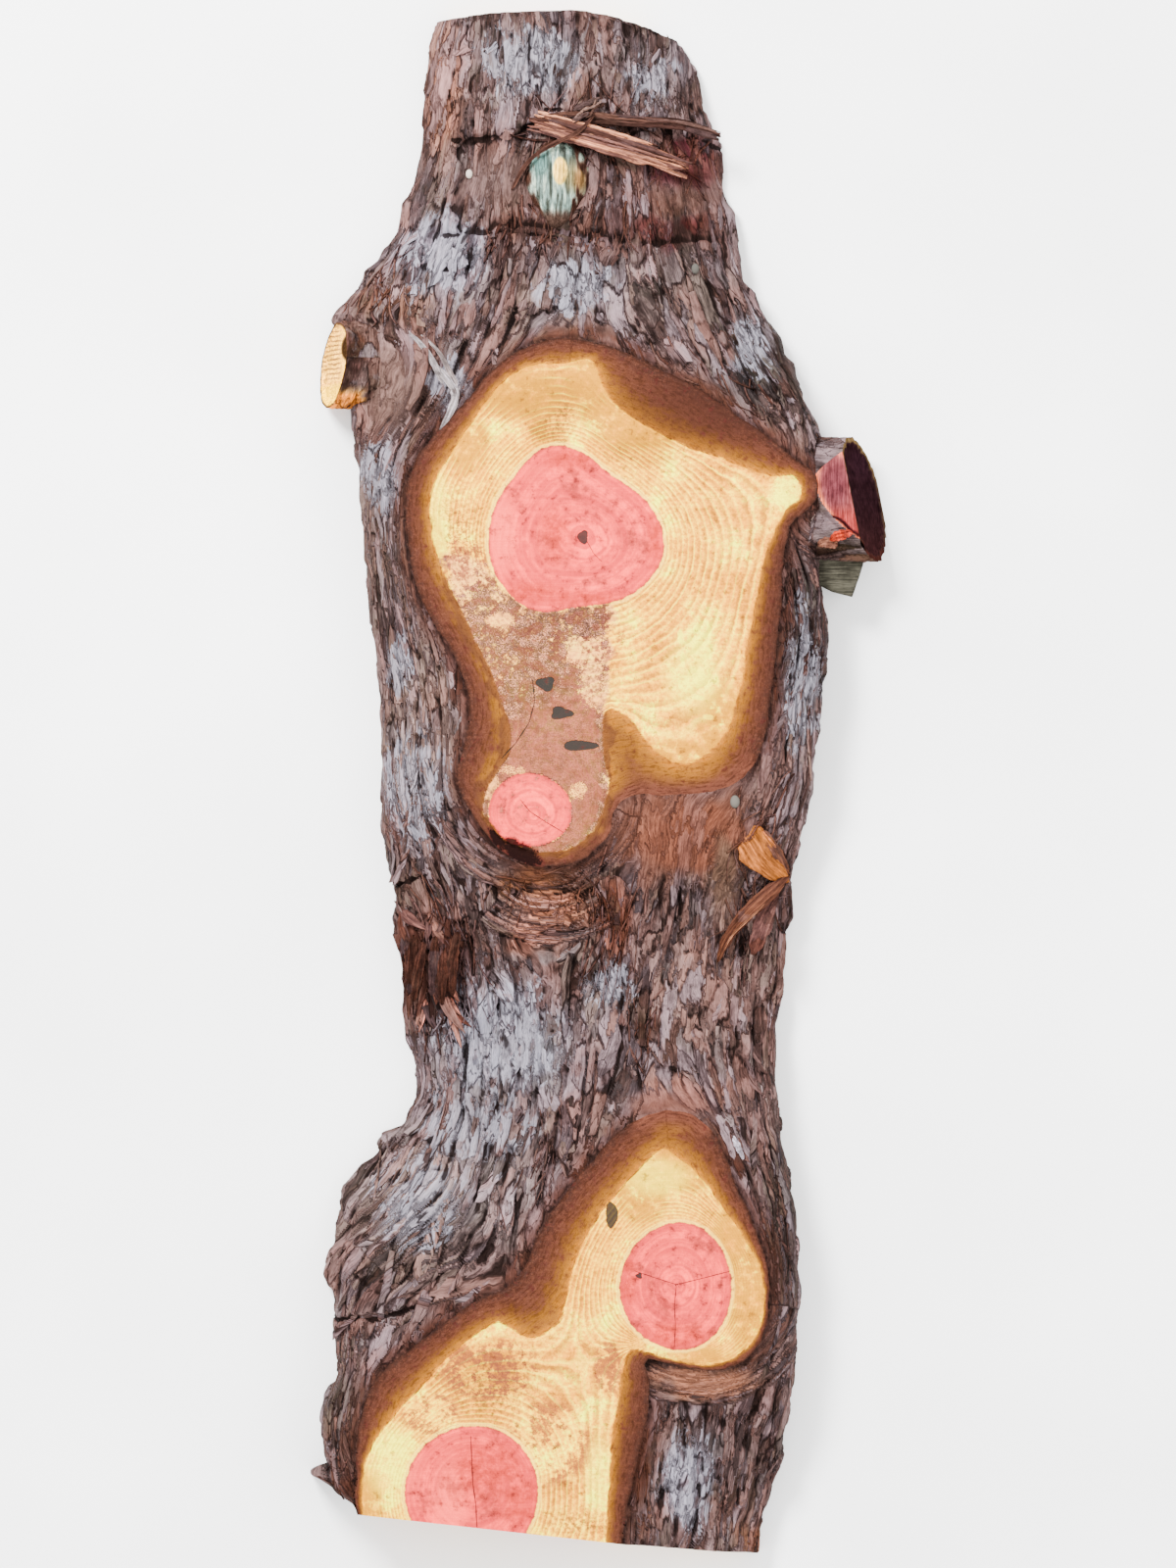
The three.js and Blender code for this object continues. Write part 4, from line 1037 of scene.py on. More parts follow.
def weathered_material():
    s = Shader("weathered_wood")
    place, tint = s.read("place", "tint")
    lines = s.noise(s.scaled(place, 0.06, 0.8, 0.8), 1.0, 5, 0.65)
    blots = s.noise(place, 0.14, 4, 0.6)
    shade = s.lighten(tint, s.step(lines, 0.36, 0.64, 0.5, 1.4) * s.step(blots, 0.35, 0.65, 0.75, 1.2))
    return s.finish(shade, s.step(blots, 0.3, 0.7, 0.7, 0.9), lines, 0.0012)


# What the bark and the sawn faces give their materials

def bark_values(surface, tone, u, v, painted_shade, fresh):
    x, y = surface.x, surface.y
    tint, pale = place_colours(x, y)
    still = surface.still * (1 - in_arcs(x, y, tone, tone)[2])
    return {
        "flow": joined(u, v, 9 * tone), "tint": tint, "pale": pale,
        # Painted shade in the bark's hollows and breaks and along the rims
        "tone": tone, "painted_shade": painted_shade, "fresh": fresh,
        "calm": np.max([among(x, y, SMOOTH), among(x, y, FADING), still], axis=0),
    }


def crack_fields(x, y):
    """Millimetres to one side of the nearest crack, over its width, and millimetres from it."""
    best, signed = np.full(np.shape(x), 1e9), np.full(np.shape(x), 1e3)
    for line, wide in CRACKS:
        for start, end in zip(line, line[1:]):
            t, far = on_piece(x, y, start, end)
            aside = (x - start[0]) * (end[1] - start[1]) - (y - start[1]) * (end[0] - start[0])
            taper = 1 + 1.2 * np.abs(2 * t - 1)
            nearer = far * PITCH < best
            signed = np.where(nearer, aside / math.dist(start, end) * PITCH * taper / wide, signed)
            best = np.where(nearer, far * PITCH, best)
    return np.clip(signed, -4, 4), np.clip(best, 0, 6)


def ring_numbers(x, y, hearts):
    """Which year's ring each point lies in: counted from the pith in a heart, from the heart outside it."""
    ring = np.where(y < BETWEEN, 15 * UPPER_RINGS(x, y), 13 * LOWER_RINGS(x, y))
    for own, (at_x, at_y), count in zip(hearts, PITHS, (13, 7, 12, 13)):
        far = np.hypot(x - at_x, y - at_y) * PITCH
        ring = np.where(own > 0, count * far / (far + np.maximum(own, 0) + 0.5), ring)
    return ring


def window_values(x, y, window):
    wood = np.maximum(inside(x, y, WOODS[0]), inside(x, y, WOODS[1])) * PITCH
    wood = wood + 2.2 * (rough(x / 12, y / 12, 301) - 0.5)
    hearts = [inside(x, y, outline) * PITCH for outline in [rounded(HEART_A)] + HEARTS[1:]]
    stain = smooth(-10, 14, inside(x, y, STAINED) + 22 * (rough(x / 18, y / 18, 311) - 0.5))
    stain = stain * (0.55 + 0.45 * smooth(650, 760, y + 0.6 * (x - 560)))
    crack, far = crack_fields(x, y)
    round_rim = np.where(y < BETWEEN, along_outline(x, y, UPPER_RIM), along_outline(x, y, LOWER_RIM))
    values = {name: among(x, y, ovals) for name, ovals in WOOD_PATCHES.items()}
    return values | {
        "place": joined(planx(x), plany(y), 0), "tint": 1, "wood": wood, "heart": np.max(hearts, axis=0),
        "band": np.where(wood < 0, -wood / (np.abs(wood) + np.maximum(window, 0) + 0.3), 0),
        "ring": ring_numbers(x, y, hearts),
        "stain": np.where(np.max(hearts, axis=0) > 0, 0.1 * stain, stain),
        "dark": np.max([smooth(-2, 2, inside(x, y, outline)) for outline in PITS], axis=0),
        "crack": crack, "far": far, "rim": window, "round_rim": round_rim * PITCH,
        "dirt": 0.25 + 0.75 * among(x, y, DIRTY), "char": smooth(-6, 7, inside(x, y, CHARRED)),
        "shady": np.max([share * spot(x, y, *place) for *place, share in SHADY], axis=0),
        "gleam": among(x, y, BRIGHT) - among(x, y, DULL) + 3 * among(x, y, TICKS),
    }


def plain_values(place, wood, heart, ring, dark=0):
    """What a sawn face other than the windows gives its material; its bark is nine millimetres thick."""
    return dict.fromkeys(("stain", "yellow", "soft", "gleam", "cream", "char"), 0) | {
        "place": place, "tint": 1, "heart": heart, "ring": ring, "dark": dark, "crack": 4, "far": 6,
        "wood": wood, "band": np.clip(-wood / 9, 0, 1), "rim": wood + 9,
        "round_rim": place[..., 0] + place[..., 1], "dirt": 0.4, "rusty": 0.3, "ruddy": 0.3, "shady": 0.4,
    }


# The front: bark and the two sawn windows from one grid

def front_grid(rows, columns):
    """Sketch points in rows from the top cut to the foot, close together over the rounded live edges."""
    v = np.linspace(0, 1, rows + 1)[:, None]
    yl, yr = 16 + 1527 * v, 27 + 1562 * v
    xl, xr = across(LEFT_EDGE, yl), across(RIGHT_EDGE, yr)
    width = np.hypot(xr - xl, yr - yl) * PITCH
    k = np.linspace(-1, 1, columns + 1)[None, :]
    d = np.interp(np.interp(width / 2, ARC_IN, ARC) * (1 - np.abs(k)), ARC, ARC_IN)
    u = np.where(k < 0, d / width, 1 - d / width)
    bow = np.interp(442 + 234 * u, [p[0] for p in TOP_CUT], [p[1] for p in TOP_CUT]) - (16 + 11 * u)
    return xl + (xr - xl) * u, yl + (yr - yl) * u + bow * (1 - v) ** 3


def snap_to_rims(x, y):
    """Moves the grid points nearest a rim on to it, and gives the distance inside the rims."""
    near = np.abs(window_at(x, y)) < 0.95
    for _ in range(2):
        nx, ny = x[near], y[near]
        here = window_at(nx, ny)
        gx, gy = window_at(nx + 0.5, ny) - here, window_at(nx, ny + 0.5) - here
        scale = 0.5 * here / np.maximum(gx * gx + gy * gy, 0.02)
        x[near], y[near] = nx - np.clip(scale * gx, -2, 2), ny - np.clip(scale * gy, -2, 2)
    window = window_at(x, y)
    window[near] = 0
    return window


def painted_shade_and_tears(surface, window, push):
    """Painted shade on the bark: how far each point lies below its neighbours, in breaks and by rims; and
    how freshly torn it is.
    """
    x, y = surface.x, surface.y
    relief = surface.height + push
    painted_shade = np.where(surface.edge < 20, blurred(push, 4) - push, blurred(relief, 4) - relief)
    fades, below_knot = among(x, y, FADING), spot(x, y, 715, 1408, 100, 34)
    by_rim = smooth(17, 2, -window + 9 * (rough(x / 9, y / 9, 401) - 0.5)) * (1 - 0.7 * fades)
    torn = surface.torn * np.where(y < 600, 0.3 * smooth(590, 660, x), 0.7)
    torn = torn * smooth(0.36, 0.56, rough(x / 9, y / 16, 411))
    fresh = np.clip(torn + 0.9 * by_rim, 0, 1) * (1 - 0.9 * below_knot)
    # Painted shade, weaker on smooth bark, by the rims and where the rind fades, strongest in the breaks
    # across the grain
    painted_shade = painted_shade * (1 - 0.6 * among(x, y, SMOOTH)) * (1 - 0.7 * by_rim) * (1 - fades) + 1.6 * gashes(x, y)
    # A painted shadow line just outside the windows' rims
    at_rim = smooth(7, 1, -window + 6 * (rough(x / 6, y / 6, 421) - 0.5))
    return painted_shade * (1 - 0.5 * below_knot) + 0.75 * at_rim * (1 - fades), fresh


def build_front(bark, sawn):
    """Makes the bark in four bands and the windows; gives the log's surface and its points."""
    x, y = front_grid(ROWS, EDGE_COLUMNS * 2 + MIDDLE_COLUMNS)
    window = snap_to_rims(x, y)
    surface = Surface(x, y)
    push, tone, u, v = fine_bark(surface)
    push = np.where(window > -0.01, 0, (surface.strips + push) * (0.35 + 0.65 * smooth(0, 9, -window)))
    points = surface.points(push)
    below_cut = np.minimum(points[..., 2], THICKNESS - 0.02 * np.minimum(40, -window))
    points[..., 2] = np.where(window >= 0, THICKNESS, below_cut)
    values = bark_values(surface, tone, u, v, *painted_shade_and_tears(surface, window, push))
    rows, columns = x.shape[0] - 1, x.shape[1] - 1
    faces = grid_faces(rows, columns, window)
    sawn_off = window.ravel()[faces].sum(1) > 0
    row = faces.min(1) // (columns + 1)
    bands = [0, rows * 0.26, rows * 0.52, rows * 0.76, rows + 1]
    for n, (first, after) in enumerate(zip(bands, bands[1:])):
        own = faces[~sawn_off & (row >= first) & (row < after)]
        add_piece(f"bark_{n + 1}", points, own, bark, values, replaces=n == 0)
    used, own = np.unique(faces[sawn_off], return_inverse=True)
    values = window_values(*(field.ravel()[used] for field in (x, y, window)))
    add_piece("sawn_windows", points.reshape(-1, 3)[used], own, sawn, values)
    return surface, points


def build_back(surface, points, sawn):
    picked = np.linspace(0, surface.x.shape[1] - 1, 25).round().astype(int)
    x, y, edge = surface.x[:, picked], surface.y[:, picked], surface.edge[:, picked]
    flat = points[:, picked] * [1, 1, 0]
    middle = (across(LEFT_EDGE, y) + across(RIGHT_EDGE, y)) / 2
    off = (x - middle) * PITCH + 14 * (noise(y / 130, 0 * y, 501) - 0.5)
    heart = 58 + 24 * (noise(y / 110, 0 * y, 511) - 0.5) - np.abs(off)
    ring = np.abs(off) / 6.5 + 3 * noise(x / 90, y / 260, 521)
    dark = 0 * edge
    for (at_x, at_y), half in zip(PITHS, (22, 14, 20, 20)):
        far = np.hypot((x - at_x) * 1.25, y - at_y) * PITCH
        heart = np.maximum(heart, half - far)
        ring = np.where(far < half * 1.6, far / 2.4, ring)
        dark = np.maximum(dark, 0.5 * smooth(2.5, 0.5, np.abs(far - half)))
    values = plain_values(flat * [1, 0.25, 0], edge - 8, heart, ring, dark)
    faces = grid_faces(x.shape[0] - 1, len(picked) - 1)[:, ::-1]
    add_piece("sawn_back", flat, faces, sawn, values)


def build_end(name, row, surface, points, sawn):
    """The wall under the grid's first or last row of points."""
    steps = 14
    (x, y, top), edge = points[row].T, surface.edge[row]
    z = top * (1 - np.linspace(0, 1, steps + 1)[:, None])
    wall = joined(x, y, z)
    r = np.hypot(x - x.mean(), z + 120)
    depth = np.minimum(edge * 0.8, np.where(top > THICKNESS - 0.5, 1e3, (top - z) * 0.95))
    heart = 128 + 8 * (noise(wall[..., 0] / 40, z / 40, 531) - 0.5) - r
    faces = grid_faces(steps, len(x) - 1)
    values = plain_values(joined(x, z, 0), depth - 8, heart, r / 3.4)
    add_piece(name, wall, faces[:, ::-1] if row == -1 else faces, sawn, values)


# Strands: flakes, laths, shreds and fibres as many thin closed tubes

FLAKE = [(-1, -0.2), (-0.86, 0.42), (0.1, 0.55), (0.9, 0.4), (1, -0.25), (0, -0.5)]
FIBRE = [(-1, -0.5), (1, -0.5), (0, 0.8)]
UP = np.array([0.0, 0.0, 1.0])


def tubes(centre, normal, half, thick, section, ragged, curl, seed):
    """Closed tubes with torn ends round lines of centre points: (count, stations, 3)."""
    count, stations = centre.shape[:2]
    ahead = np.gradient(centre, axis=1)
    ahead /= np.linalg.norm(ahead, axis=-1, keepdims=True) + 1e-9
    beside = np.cross(ahead, normal)
    beside /= np.linalg.norm(beside, axis=-1, keepdims=True) + 1e-9
    w, h = np.array(section).T
    n, m, k = np.meshgrid(np.arange(count), np.arange(stations), np.arange(len(w)), indexing="ij")
    side = w * half[..., None] * (1 + ragged * (chance(n * 31 + m, k, seed) - 0.5))
    up = h * thick[..., None] - curl * np.abs(w) ** 2 * half[..., None]
    points = centre[:, :, None] + beside[:, :, None] * side[..., None] + normal[:, :, None] * up[..., None]
    for end, way in ((0, -1), (-1, 1)):
        torn = way * 4 * ragged * (chance(n[:, end], k[:, end], seed + 1) - 0.3) * half[:, end, None]
        points[:, end] += ahead[:, end, None] * torn[..., None]
    return points, tube_faces(count, stations, len(w)), side, h


def flow_lines(x0, y0, lengths, stations, turn, bend):
    """Sketch points along the grain from each start; lengths in millimetres, minus for upwards."""
    x, y = [x0], [y0]
    step = lengths / PITCH / (stations - 1)
    for n in range(stations - 1):
        gx = grain(x[-1] + 2, y[-1]) - grain(x[-1] - 2, y[-1])
        gy = grain(x[-1], y[-1] + 2) - grain(x[-1], y[-1] - 2)
        size = np.hypot(gx, gy) + 1e-9
        angle = turn + bend * n / (stations - 1)
        x.append(x[-1] + (-gy * np.cos(angle) - gx * np.sin(angle)) / size * step)
        y.append(y[-1] + (-gy * np.sin(angle) + gx * np.cos(angle)) / size * step)
    return np.stack(x, 1), np.stack(y, 1)


def on_bark(x, y, lift):
    """Points raised by lift from the bark's surface, with their normals and flow coordinates."""
    surface = Surface(x, y)
    push, _, u, v = fine_bark(surface)
    normal = joined(surface.side * surface.lean, 0, np.sqrt(1 - surface.lean**2))
    return surface.points(surface.strips + push + lift), normal, u, v


def build_strands(name, bark, lines, section, ragged, curl, seed, clear=2.0, smooth_faces=True):
    """One piece of many strands on the bark, without those at a rim, a live edge or an end."""
    x, y = lines[:2]
    start = Surface(x, y)
    within = (x > across(LEFT_EDGE, y) + 3) & (x < across(RIGHT_EDGE, y) - 3) & (y > 22) & (y < 1535)
    keep = (within & (start.window < -clear) & (start.edge > 1)).all(1)
    x, y, lift, half, thick, tone, fresh = (field[keep] for field in lines)
    centre, normal, u, v = on_bark(x, y, lift)
    points, faces, side, h = tubes(centre, normal, half, thick, section, ragged, curl, seed)
    points[..., 2] = np.clip(points[..., 2], 0.4, THICKNESS + 5)
    tint, pale = place_colours(x, y)
    tone = tone[:, None, None]
    values = {
        "flow": joined(u[..., None] + 40 * tone + side, v[..., None], 9 * tone), "tint": tint[:, :, None],
        # Painted shade on the strands' undersides
        "tone": tone, "painted_shade": np.where(h < 0, 1.0, -0.3), "fresh": fresh[:, None, None],
        "pale": pale[..., None], "calm": 0.7 * among(x, y, SMOOTH)[..., None],
    }
    add_piece(name, points, faces, bark, values, smooth_faces)


def build_flakes(bark):
    numbers = np.arange(2100)
    pick = picker(numbers, 611)
    y = 20 + 1500 * pick(1)
    left, right = across(LEFT_EDGE, y), across(RIGHT_EDGE, y)
    x = left + (right - left) * (0.02 + 0.96 * pick(2))
    strings = among(x, y, STRINGY)
    keep = (among(x, y, SMOOTH) < 0.1) & (pick(12) < 0.14 + 0.2 * strings)
    x, y, strings, pick = x[keep], y[keep], strings[keep], picker(numbers[keep], 611)
    long = (14 + 30 * pick(3) ** 1.6) * (1 + 0.7 * strings) * np.where(pick(4) < 0.45, -1, 1)
    turn = 0.6 * (pick(5) - 0.5) + 0.4 * (swept(x, y) > 8)
    x, y = flow_lines(x, y, long, 7, turn, 0.9 * (pick(6) - 0.5))
    t = np.linspace(0, 1, 7)
    column = picker(numbers[keep, None], 611)
    lift = -1.4 + (0.4 + 3.2 * column(7) ** 3) * t**1.4 + 0.6 * t
    tips = np.where(t > 0.95, 0.2 + 0.7 * column(13), 1.0)
    half = (3.2 + 6.4 * column(8) ** 1.3) / (1 + 0.8 * strings[:, None]) * tips
    half = half * np.minimum(1, 0.5 + 2 * t) * (1 - 0.35 * column(14) * t)
    lines = (x, y, lift, half, 0.8 + 0.7 * column(9) + 0 * t, pick(10), 0.25 * (pick(11) < 0.08))
    build_strands("flakes", bark, lines, FLAKE, 0.7, 0.04, 621, smooth_faces=False)


def build_laths(bark):
    pick = picker(np.arange(90), 41)
    value, start = 0.1 + 0.8 * pick(1), 160 + 1220 * pick(2)
    reach = (45 + 45 * pick(3)) / PITCH * np.where(pick(4) < 0.5, -1, 1)
    width, lift = 7 + 5 * pick(5), 3 + 3.5 * pick(6)
    stations = np.array([0, 0.33, 0.7, 1])
    y = start[:, None] + reach[:, None] * stations
    x = at_grain(value[:, None] + 0 * y, y)
    openings = np.max([inside(x, y, o) for o in (UPPER_WINDOW, LOWER_WINDOW, TRENCH, HOLLOW)], axis=0)
    keep = (Surface(x, y).edge > 34 * PITCH).all(1) & (openings < -16).all(1)
    keep &= np.cumsum(keep) <= LATHS
    value, start, reach, width, lift = (a[keep, None] for a in (value, start, reach, width, lift))
    t = np.linspace(0, 1, 13)
    y = start + reach * t
    x = at_grain(value + 0 * y, y)
    up = np.interp(t, stations, [-3.5, 0, 0, 0]) + lift * np.interp(t, stations, [0, 0, 0.25, 1])
    half = width / 2 * np.interp(t, stations, [0.6, 1, 0.9, 0.5])
    tone = picker(np.arange(len(value)), 631)(3)
    lines = (x, y, up, half, np.full_like(half, 2.6), tone, 0.2 * tone)
    build_strands("laths", bark, lines, FLAKE, 0.25, 0.1, 641)


# Frayed places: centre, half-axes, count, length, turn from the grain, lift
FRAYED = [
    (600, 130, 60, 12, 46, 34, 1.2, 5), (690, 168, 26, 10, 24, 22, 1.3, 3),
    (590, 232, 110, 10, 80, 18, 0.4, 3), (440, 985, 44, 50, 120, 34, 0.35, 6),
    (560, 900, 60, 18, 60, 22, 0.9, 3), (625, 950, 24, 44, 60, 30, 0.2, 3),
    (345, 318, 14, 20, 26, 20, 0.6, 4), (335, 1505, 18, 24, 36, 18, 0.9, 4),
    (775, 860, 30, 40, 40, 26, 0.6, 4), (770, 935, 26, 40, 30, 30, 0.7, 3),
    (655, 1050, 18, 24, 26, 20, 0.5, 3), (552, 1185, 18, 30, 24, 24, 0.3, 3),
    (745, 1565, 40, 14, 34, 16, 0.5, 3), (380, 290, 30, 30, 36, 20, 0.5, 3),
    (530, 1290, 24, 50, 30, 22, 0.3, 2), (700, 400, 80, 26, 50, 20, 0.5, 2),
    (653, 1480, 10, 80, 50, 22, 0.15, 2),
]


def build_fibres(bark):
    parts = []
    for place, (at_x, at_y, half_x, half_y, count, long, turn, lift) in enumerate(FRAYED):
        pick = picker(np.arange(count), 700 + place)
        angle, far = 2 * np.pi * pick(1), np.sqrt(pick(2))
        x, y = at_x + half_x * far * np.cos(angle), at_y + half_y * far * np.sin(angle)
        length = long * (0.5 + pick(3)) * np.where(pick(4) < 0.4, -1, 1)
        x, y = flow_lines(x, y, length, 6, turn * 2 * (pick(5) - 0.5), 1.2 * (pick(6) - 0.5))
        t = np.linspace(0, 1, 6)
        up = -0.8 + lift * pick(7)[:, None] * t**1.2 + 1.0 * t
        half = (0.5 + 1.3 * pick(8)[:, None] ** 2) * (1 - 0.5 * t)
        tone = pick(10)
        parts.append((x, y, up, half, 0.9 + 0.5 * pick(9)[:, None] + 0 * t, tone, 0.5 + 0.4 * tone))
    lines = [np.concatenate(field) for field in zip(*parts)]
    build_strands("fibres", bark, lines, FIBRE, 0.2, 0.0, 711, 0.5)


# Ribbons of torn bark, and peeled ones that lie on it. Stations of sketch x and y, height in millimetres
# from the back or from the bark, and width; then thickness, colour and colour of the streaks
RIBBONS = [
    ([(750, 836, 44, 2), (757, 847, 52, 13), (766, 857, 56, 24), (776, 873, 56, 26), (787, 885, 50, 18),
     (800, 896, 38, 9), (806, 901, 28, 3)], 1.8, (206, 150, 92), (226, 176, 120)),
    ([(764, 840, 50, 3), (782, 855, 56, 8), (794, 872, 53, 8), (806, 894, 34, 4)], 2.0, (146, 92, 64),
     (186, 130, 96)),
    ([(778, 848, 57, 1), (793, 867, 54.5, 1.6), (806, 892, 36, 1)], 1.6, (232, 186, 146), (240, 200, 160)),
    ([(806, 893, 34, 4), (790, 907, 49, 10), (768, 926, 57, 12), (752, 943, 59, 10), (740, 961, 58, 8),
     (732, 982, 52, 3)], 2.2, (136, 86, 68), (170, 118, 92)),
    # This thin pale strip along the tail's edge is a painted highlight
    ([(796, 905, 44, 1), (772, 930, 58.5, 1.6), (748, 953, 60, 1.4), (734, 978, 54, 1)],
     1.6, (200, 154, 122), (216, 176, 146)),
    ([(794, 912, 40, 4), (784, 930, 50, 11), (776, 950, 55, 13), (768, 974, 52, 7)], 2.0, (144, 92, 80),
     (178, 130, 116)),
    ([(548, 124, 49, 9), (565, 130, 54, 14), (590, 139, 57, 16), (620, 148, 59, 17), (650, 156, 58, 17),
     (675, 163, 55, 13), (692, 168, 52, 9), (703, 171, 47, 3)], 4.0, (168, 124, 114), (232, 198, 174)),
    ([(612, 128, 51, 3), (640, 126, 53, 5), (680, 128, 53, 5), (715, 131, 48, 4), (736, 138, 38, 2)],
     2.4, (104, 70, 62), (140, 100, 88)),
    ([(522, 193, 44, 2), (534, 172, 51, 3), (548, 158, 57, 3), (568, 147, 61, 3.4), (590, 136, 62, 3),
     (607, 118, 57, 2)], 2.6, (138, 98, 86), (170, 128, 112)),
    ([(846, 552, 64, 3), (853, 548, 67, 7), (861, 546, 68, 7), (869, 544, 67, 3)], 2.4, (214, 104, 82),
     (240, 140, 112)),
    ([(834, 556, 58, 4), (843, 554, 62, 8), (854, 557, 62, 6)], 2.4, (178, 132, 114), (206, 164, 142)),
]
PEELED = [
    ([(414, 338, -1, 2), (428, 350, 1, 4), (442, 370, 2, 5), (452, 392, 0, 3)], 1.4, (200, 194, 194),
     (222, 218, 218)),
    ([(444, 372, -1, 3), (458, 390, 1.5, 6), (465, 404, 2, 7), (460, 422, 1.5, 5), (449, 440, -0.5, 2)],
     1.6, (196, 190, 190), (224, 220, 222)),
    ([(430, 342, -1, 2), (448, 360, 1, 3), (462, 386, 0.5, 4), (470, 400, -1, 2)], 1.4, (186, 176, 174),
     (214, 208, 208)),
    ([(747, 1158, -1, 2), (752, 1168, 1.5, 5), (758, 1182, 0.5, 3)], 1.4, (206, 200, 204),
     (226, 222, 226)),
]
# Bundles of splinters: middle line with its height, count, spread and colours
BUNDLES = [
    ([(540, 122, 50), (565, 128, 56), (600, 139, 60), (640, 151, 61), (676, 162, 58), (704, 172, 50)],
     30, 8.5, [(186, 144, 132), (214, 176, 158), (150, 106, 94), (232, 202, 180), (118, 78, 68)]),
    ([(560, 120, 52), (600, 120, 55), (650, 124, 56), (700, 129, 53), (735, 137, 42)],
     16, 5, [(128, 92, 82), (100, 68, 60), (152, 114, 100), (84, 56, 50)]),
    ([(585, 128, 56), (596, 118, 58), (606, 112, 58), (616, 106, 57)], 9, 6, [(150, 118, 106),
     (186, 160, 148), (112, 82, 72)]),
]


def shreds():
    """Ribbons that hang in the hollow."""
    made = []
    for i in range(7):
        a, b, c = (float(chance(i, k, 21)) for k in (1, 2, 3))
        x, y, lean = 412 + 9 * i + 6 * a, 945 + 22 * b, 18 * (c - 0.6)
        base = 20 + 33 * float(smooth(404, 450, x))
        stations = [(x, y, base, 5), (x + lean * 0.5, y + 28, base + 7, 8), (x + lean, y + 60, base + 4, 4)]
        made.append((stations, 3.5, (92, 52, 42), (132, 82, 66)))
    return made


def hollow_strips():
    """More shreds, that lie on the hollow's bark and cross its rim."""
    shades = [
        (112, 66, 54), (66, 38, 34), (176, 138, 126), (46, 28, 26), (138, 88, 74), (204, 168, 156),
        (84, 50, 44),
    ]
    made = []
    for i in range(48):
        a, b, c, d, e = (float(chance(i, k, 27)) for k in range(5))
        x, y, lean, long = 398 + 68 * a, 922 + 92 * b, 56 * (c - 0.4), 22 + 40 * d
        lift, wide = 0.4 + 7 * e**2, 2 + 4.5 * c
        low = max(float(across(LEFT_EDGE, y + long * k / 4)) for k in range(5)) + 6
        stations = [
            (max(low, x), y, -2, wide), (max(low, x + lean * 0.3), y + long * 0.5, lift, wide + 1.5),
            (max(low, x + lean), y + long, lift + 1.5, 1.6),
        ]
        shade = shades[i % len(shades)]
        made.append((stations, 1.6, shade, [min(255, v + 34) for v in shade]))
    return made


def spline(stations, steps):
    """A smooth line through stations."""
    at = np.array(stations, float)
    padded = np.concatenate([[2 * at[0] - at[1]], at, [2 * at[-1] - at[-2]]])
    k = np.linspace(0, len(at) - 1, steps)
    i = np.minimum(k.astype(int), len(at) - 2)
    t = (k - i)[:, None]
    a, b, c, d = (padded[i + n] for n in range(4))
    return 0.5 * (2 * b + (c - a) * t + (2 * a - 5 * b + 4 * c - d) * t**2 + (3 * b - a - 3 * c + d) * t**3)


def build_ribbons(bark):
    fine, coarse = (70, 22), (30, 8)
    groups = [(RIBBONS + shreds(), False, fine), (PEELED, True, fine), (hollow_strips(), True, coarse)]
    made = [(*ribbon, lies, *size) for ribbons, lies, size in groups for ribbon in ribbons]
    for number, ribbon in enumerate(made):
        build_ribbon(bark, number, *ribbon)


def build_ribbon(bark, number, stations, thick, rgb, streak_rgb, lies, steps, columns):
    top = [(-1 + 2 * k / columns, 0.45 + 0.1 * math.sin(3 * k)) for k in range(columns + 1)]
    section = [(-1.02, -0.1)] + top + [(1.02, -0.1)] + [(w, -0.5) for w in (0.6, 0.2, -0.2, -0.6)]
    x, y, z, width = spline(stations, steps).T
    if lies:
        base = on_bark(x[None], y[None], 0 * x[None])[0]
        z = z + blurred(base[0, :, 2:3], 5)[:, 0]
    centre = joined(planx(x), plany(y), z)[None]
    s = np.arange(steps)
    half = width / 2 * (0.85 + 0.3 * noise(s / 5, 0 * s + number, 801))
    half = half * np.minimum(1, 0.5 + s / 6) * np.minimum(1, 0.4 + (steps - 1 - s) / 8)
    points, faces, side, h = tubes(
        centre, 0 * centre + UP, half[None], 0 * half[None] + thick, section, 0.1, 0.0, 811 + number,
    )
    streaks = rough(side * 0.8 + 50, s[:, None] / 26, 821 + number)
    points[..., 2] += 0.5 * thick * (streaks - 0.5) * (0.3 + 0.7 * (h > 0))
    share = smooth(0.48, 0.7, streaks)[..., None]
    values = {
        # Painted shade on the ribbon's underside
        "flow": joined(side + 60 * number, s[:, None] * 1.2, 0), "painted_shade": np.where(h < -0.1, 1.2, -0.3),
        "tint": paint(rgb) * (1 - share) + paint(streak_rgb) * share,
        "tone": 0.5, "fresh": 0, "pale": 0, "calm": 1,
    }
    add_piece(f"ribbon_{number + 1}", points, faces, bark, values)


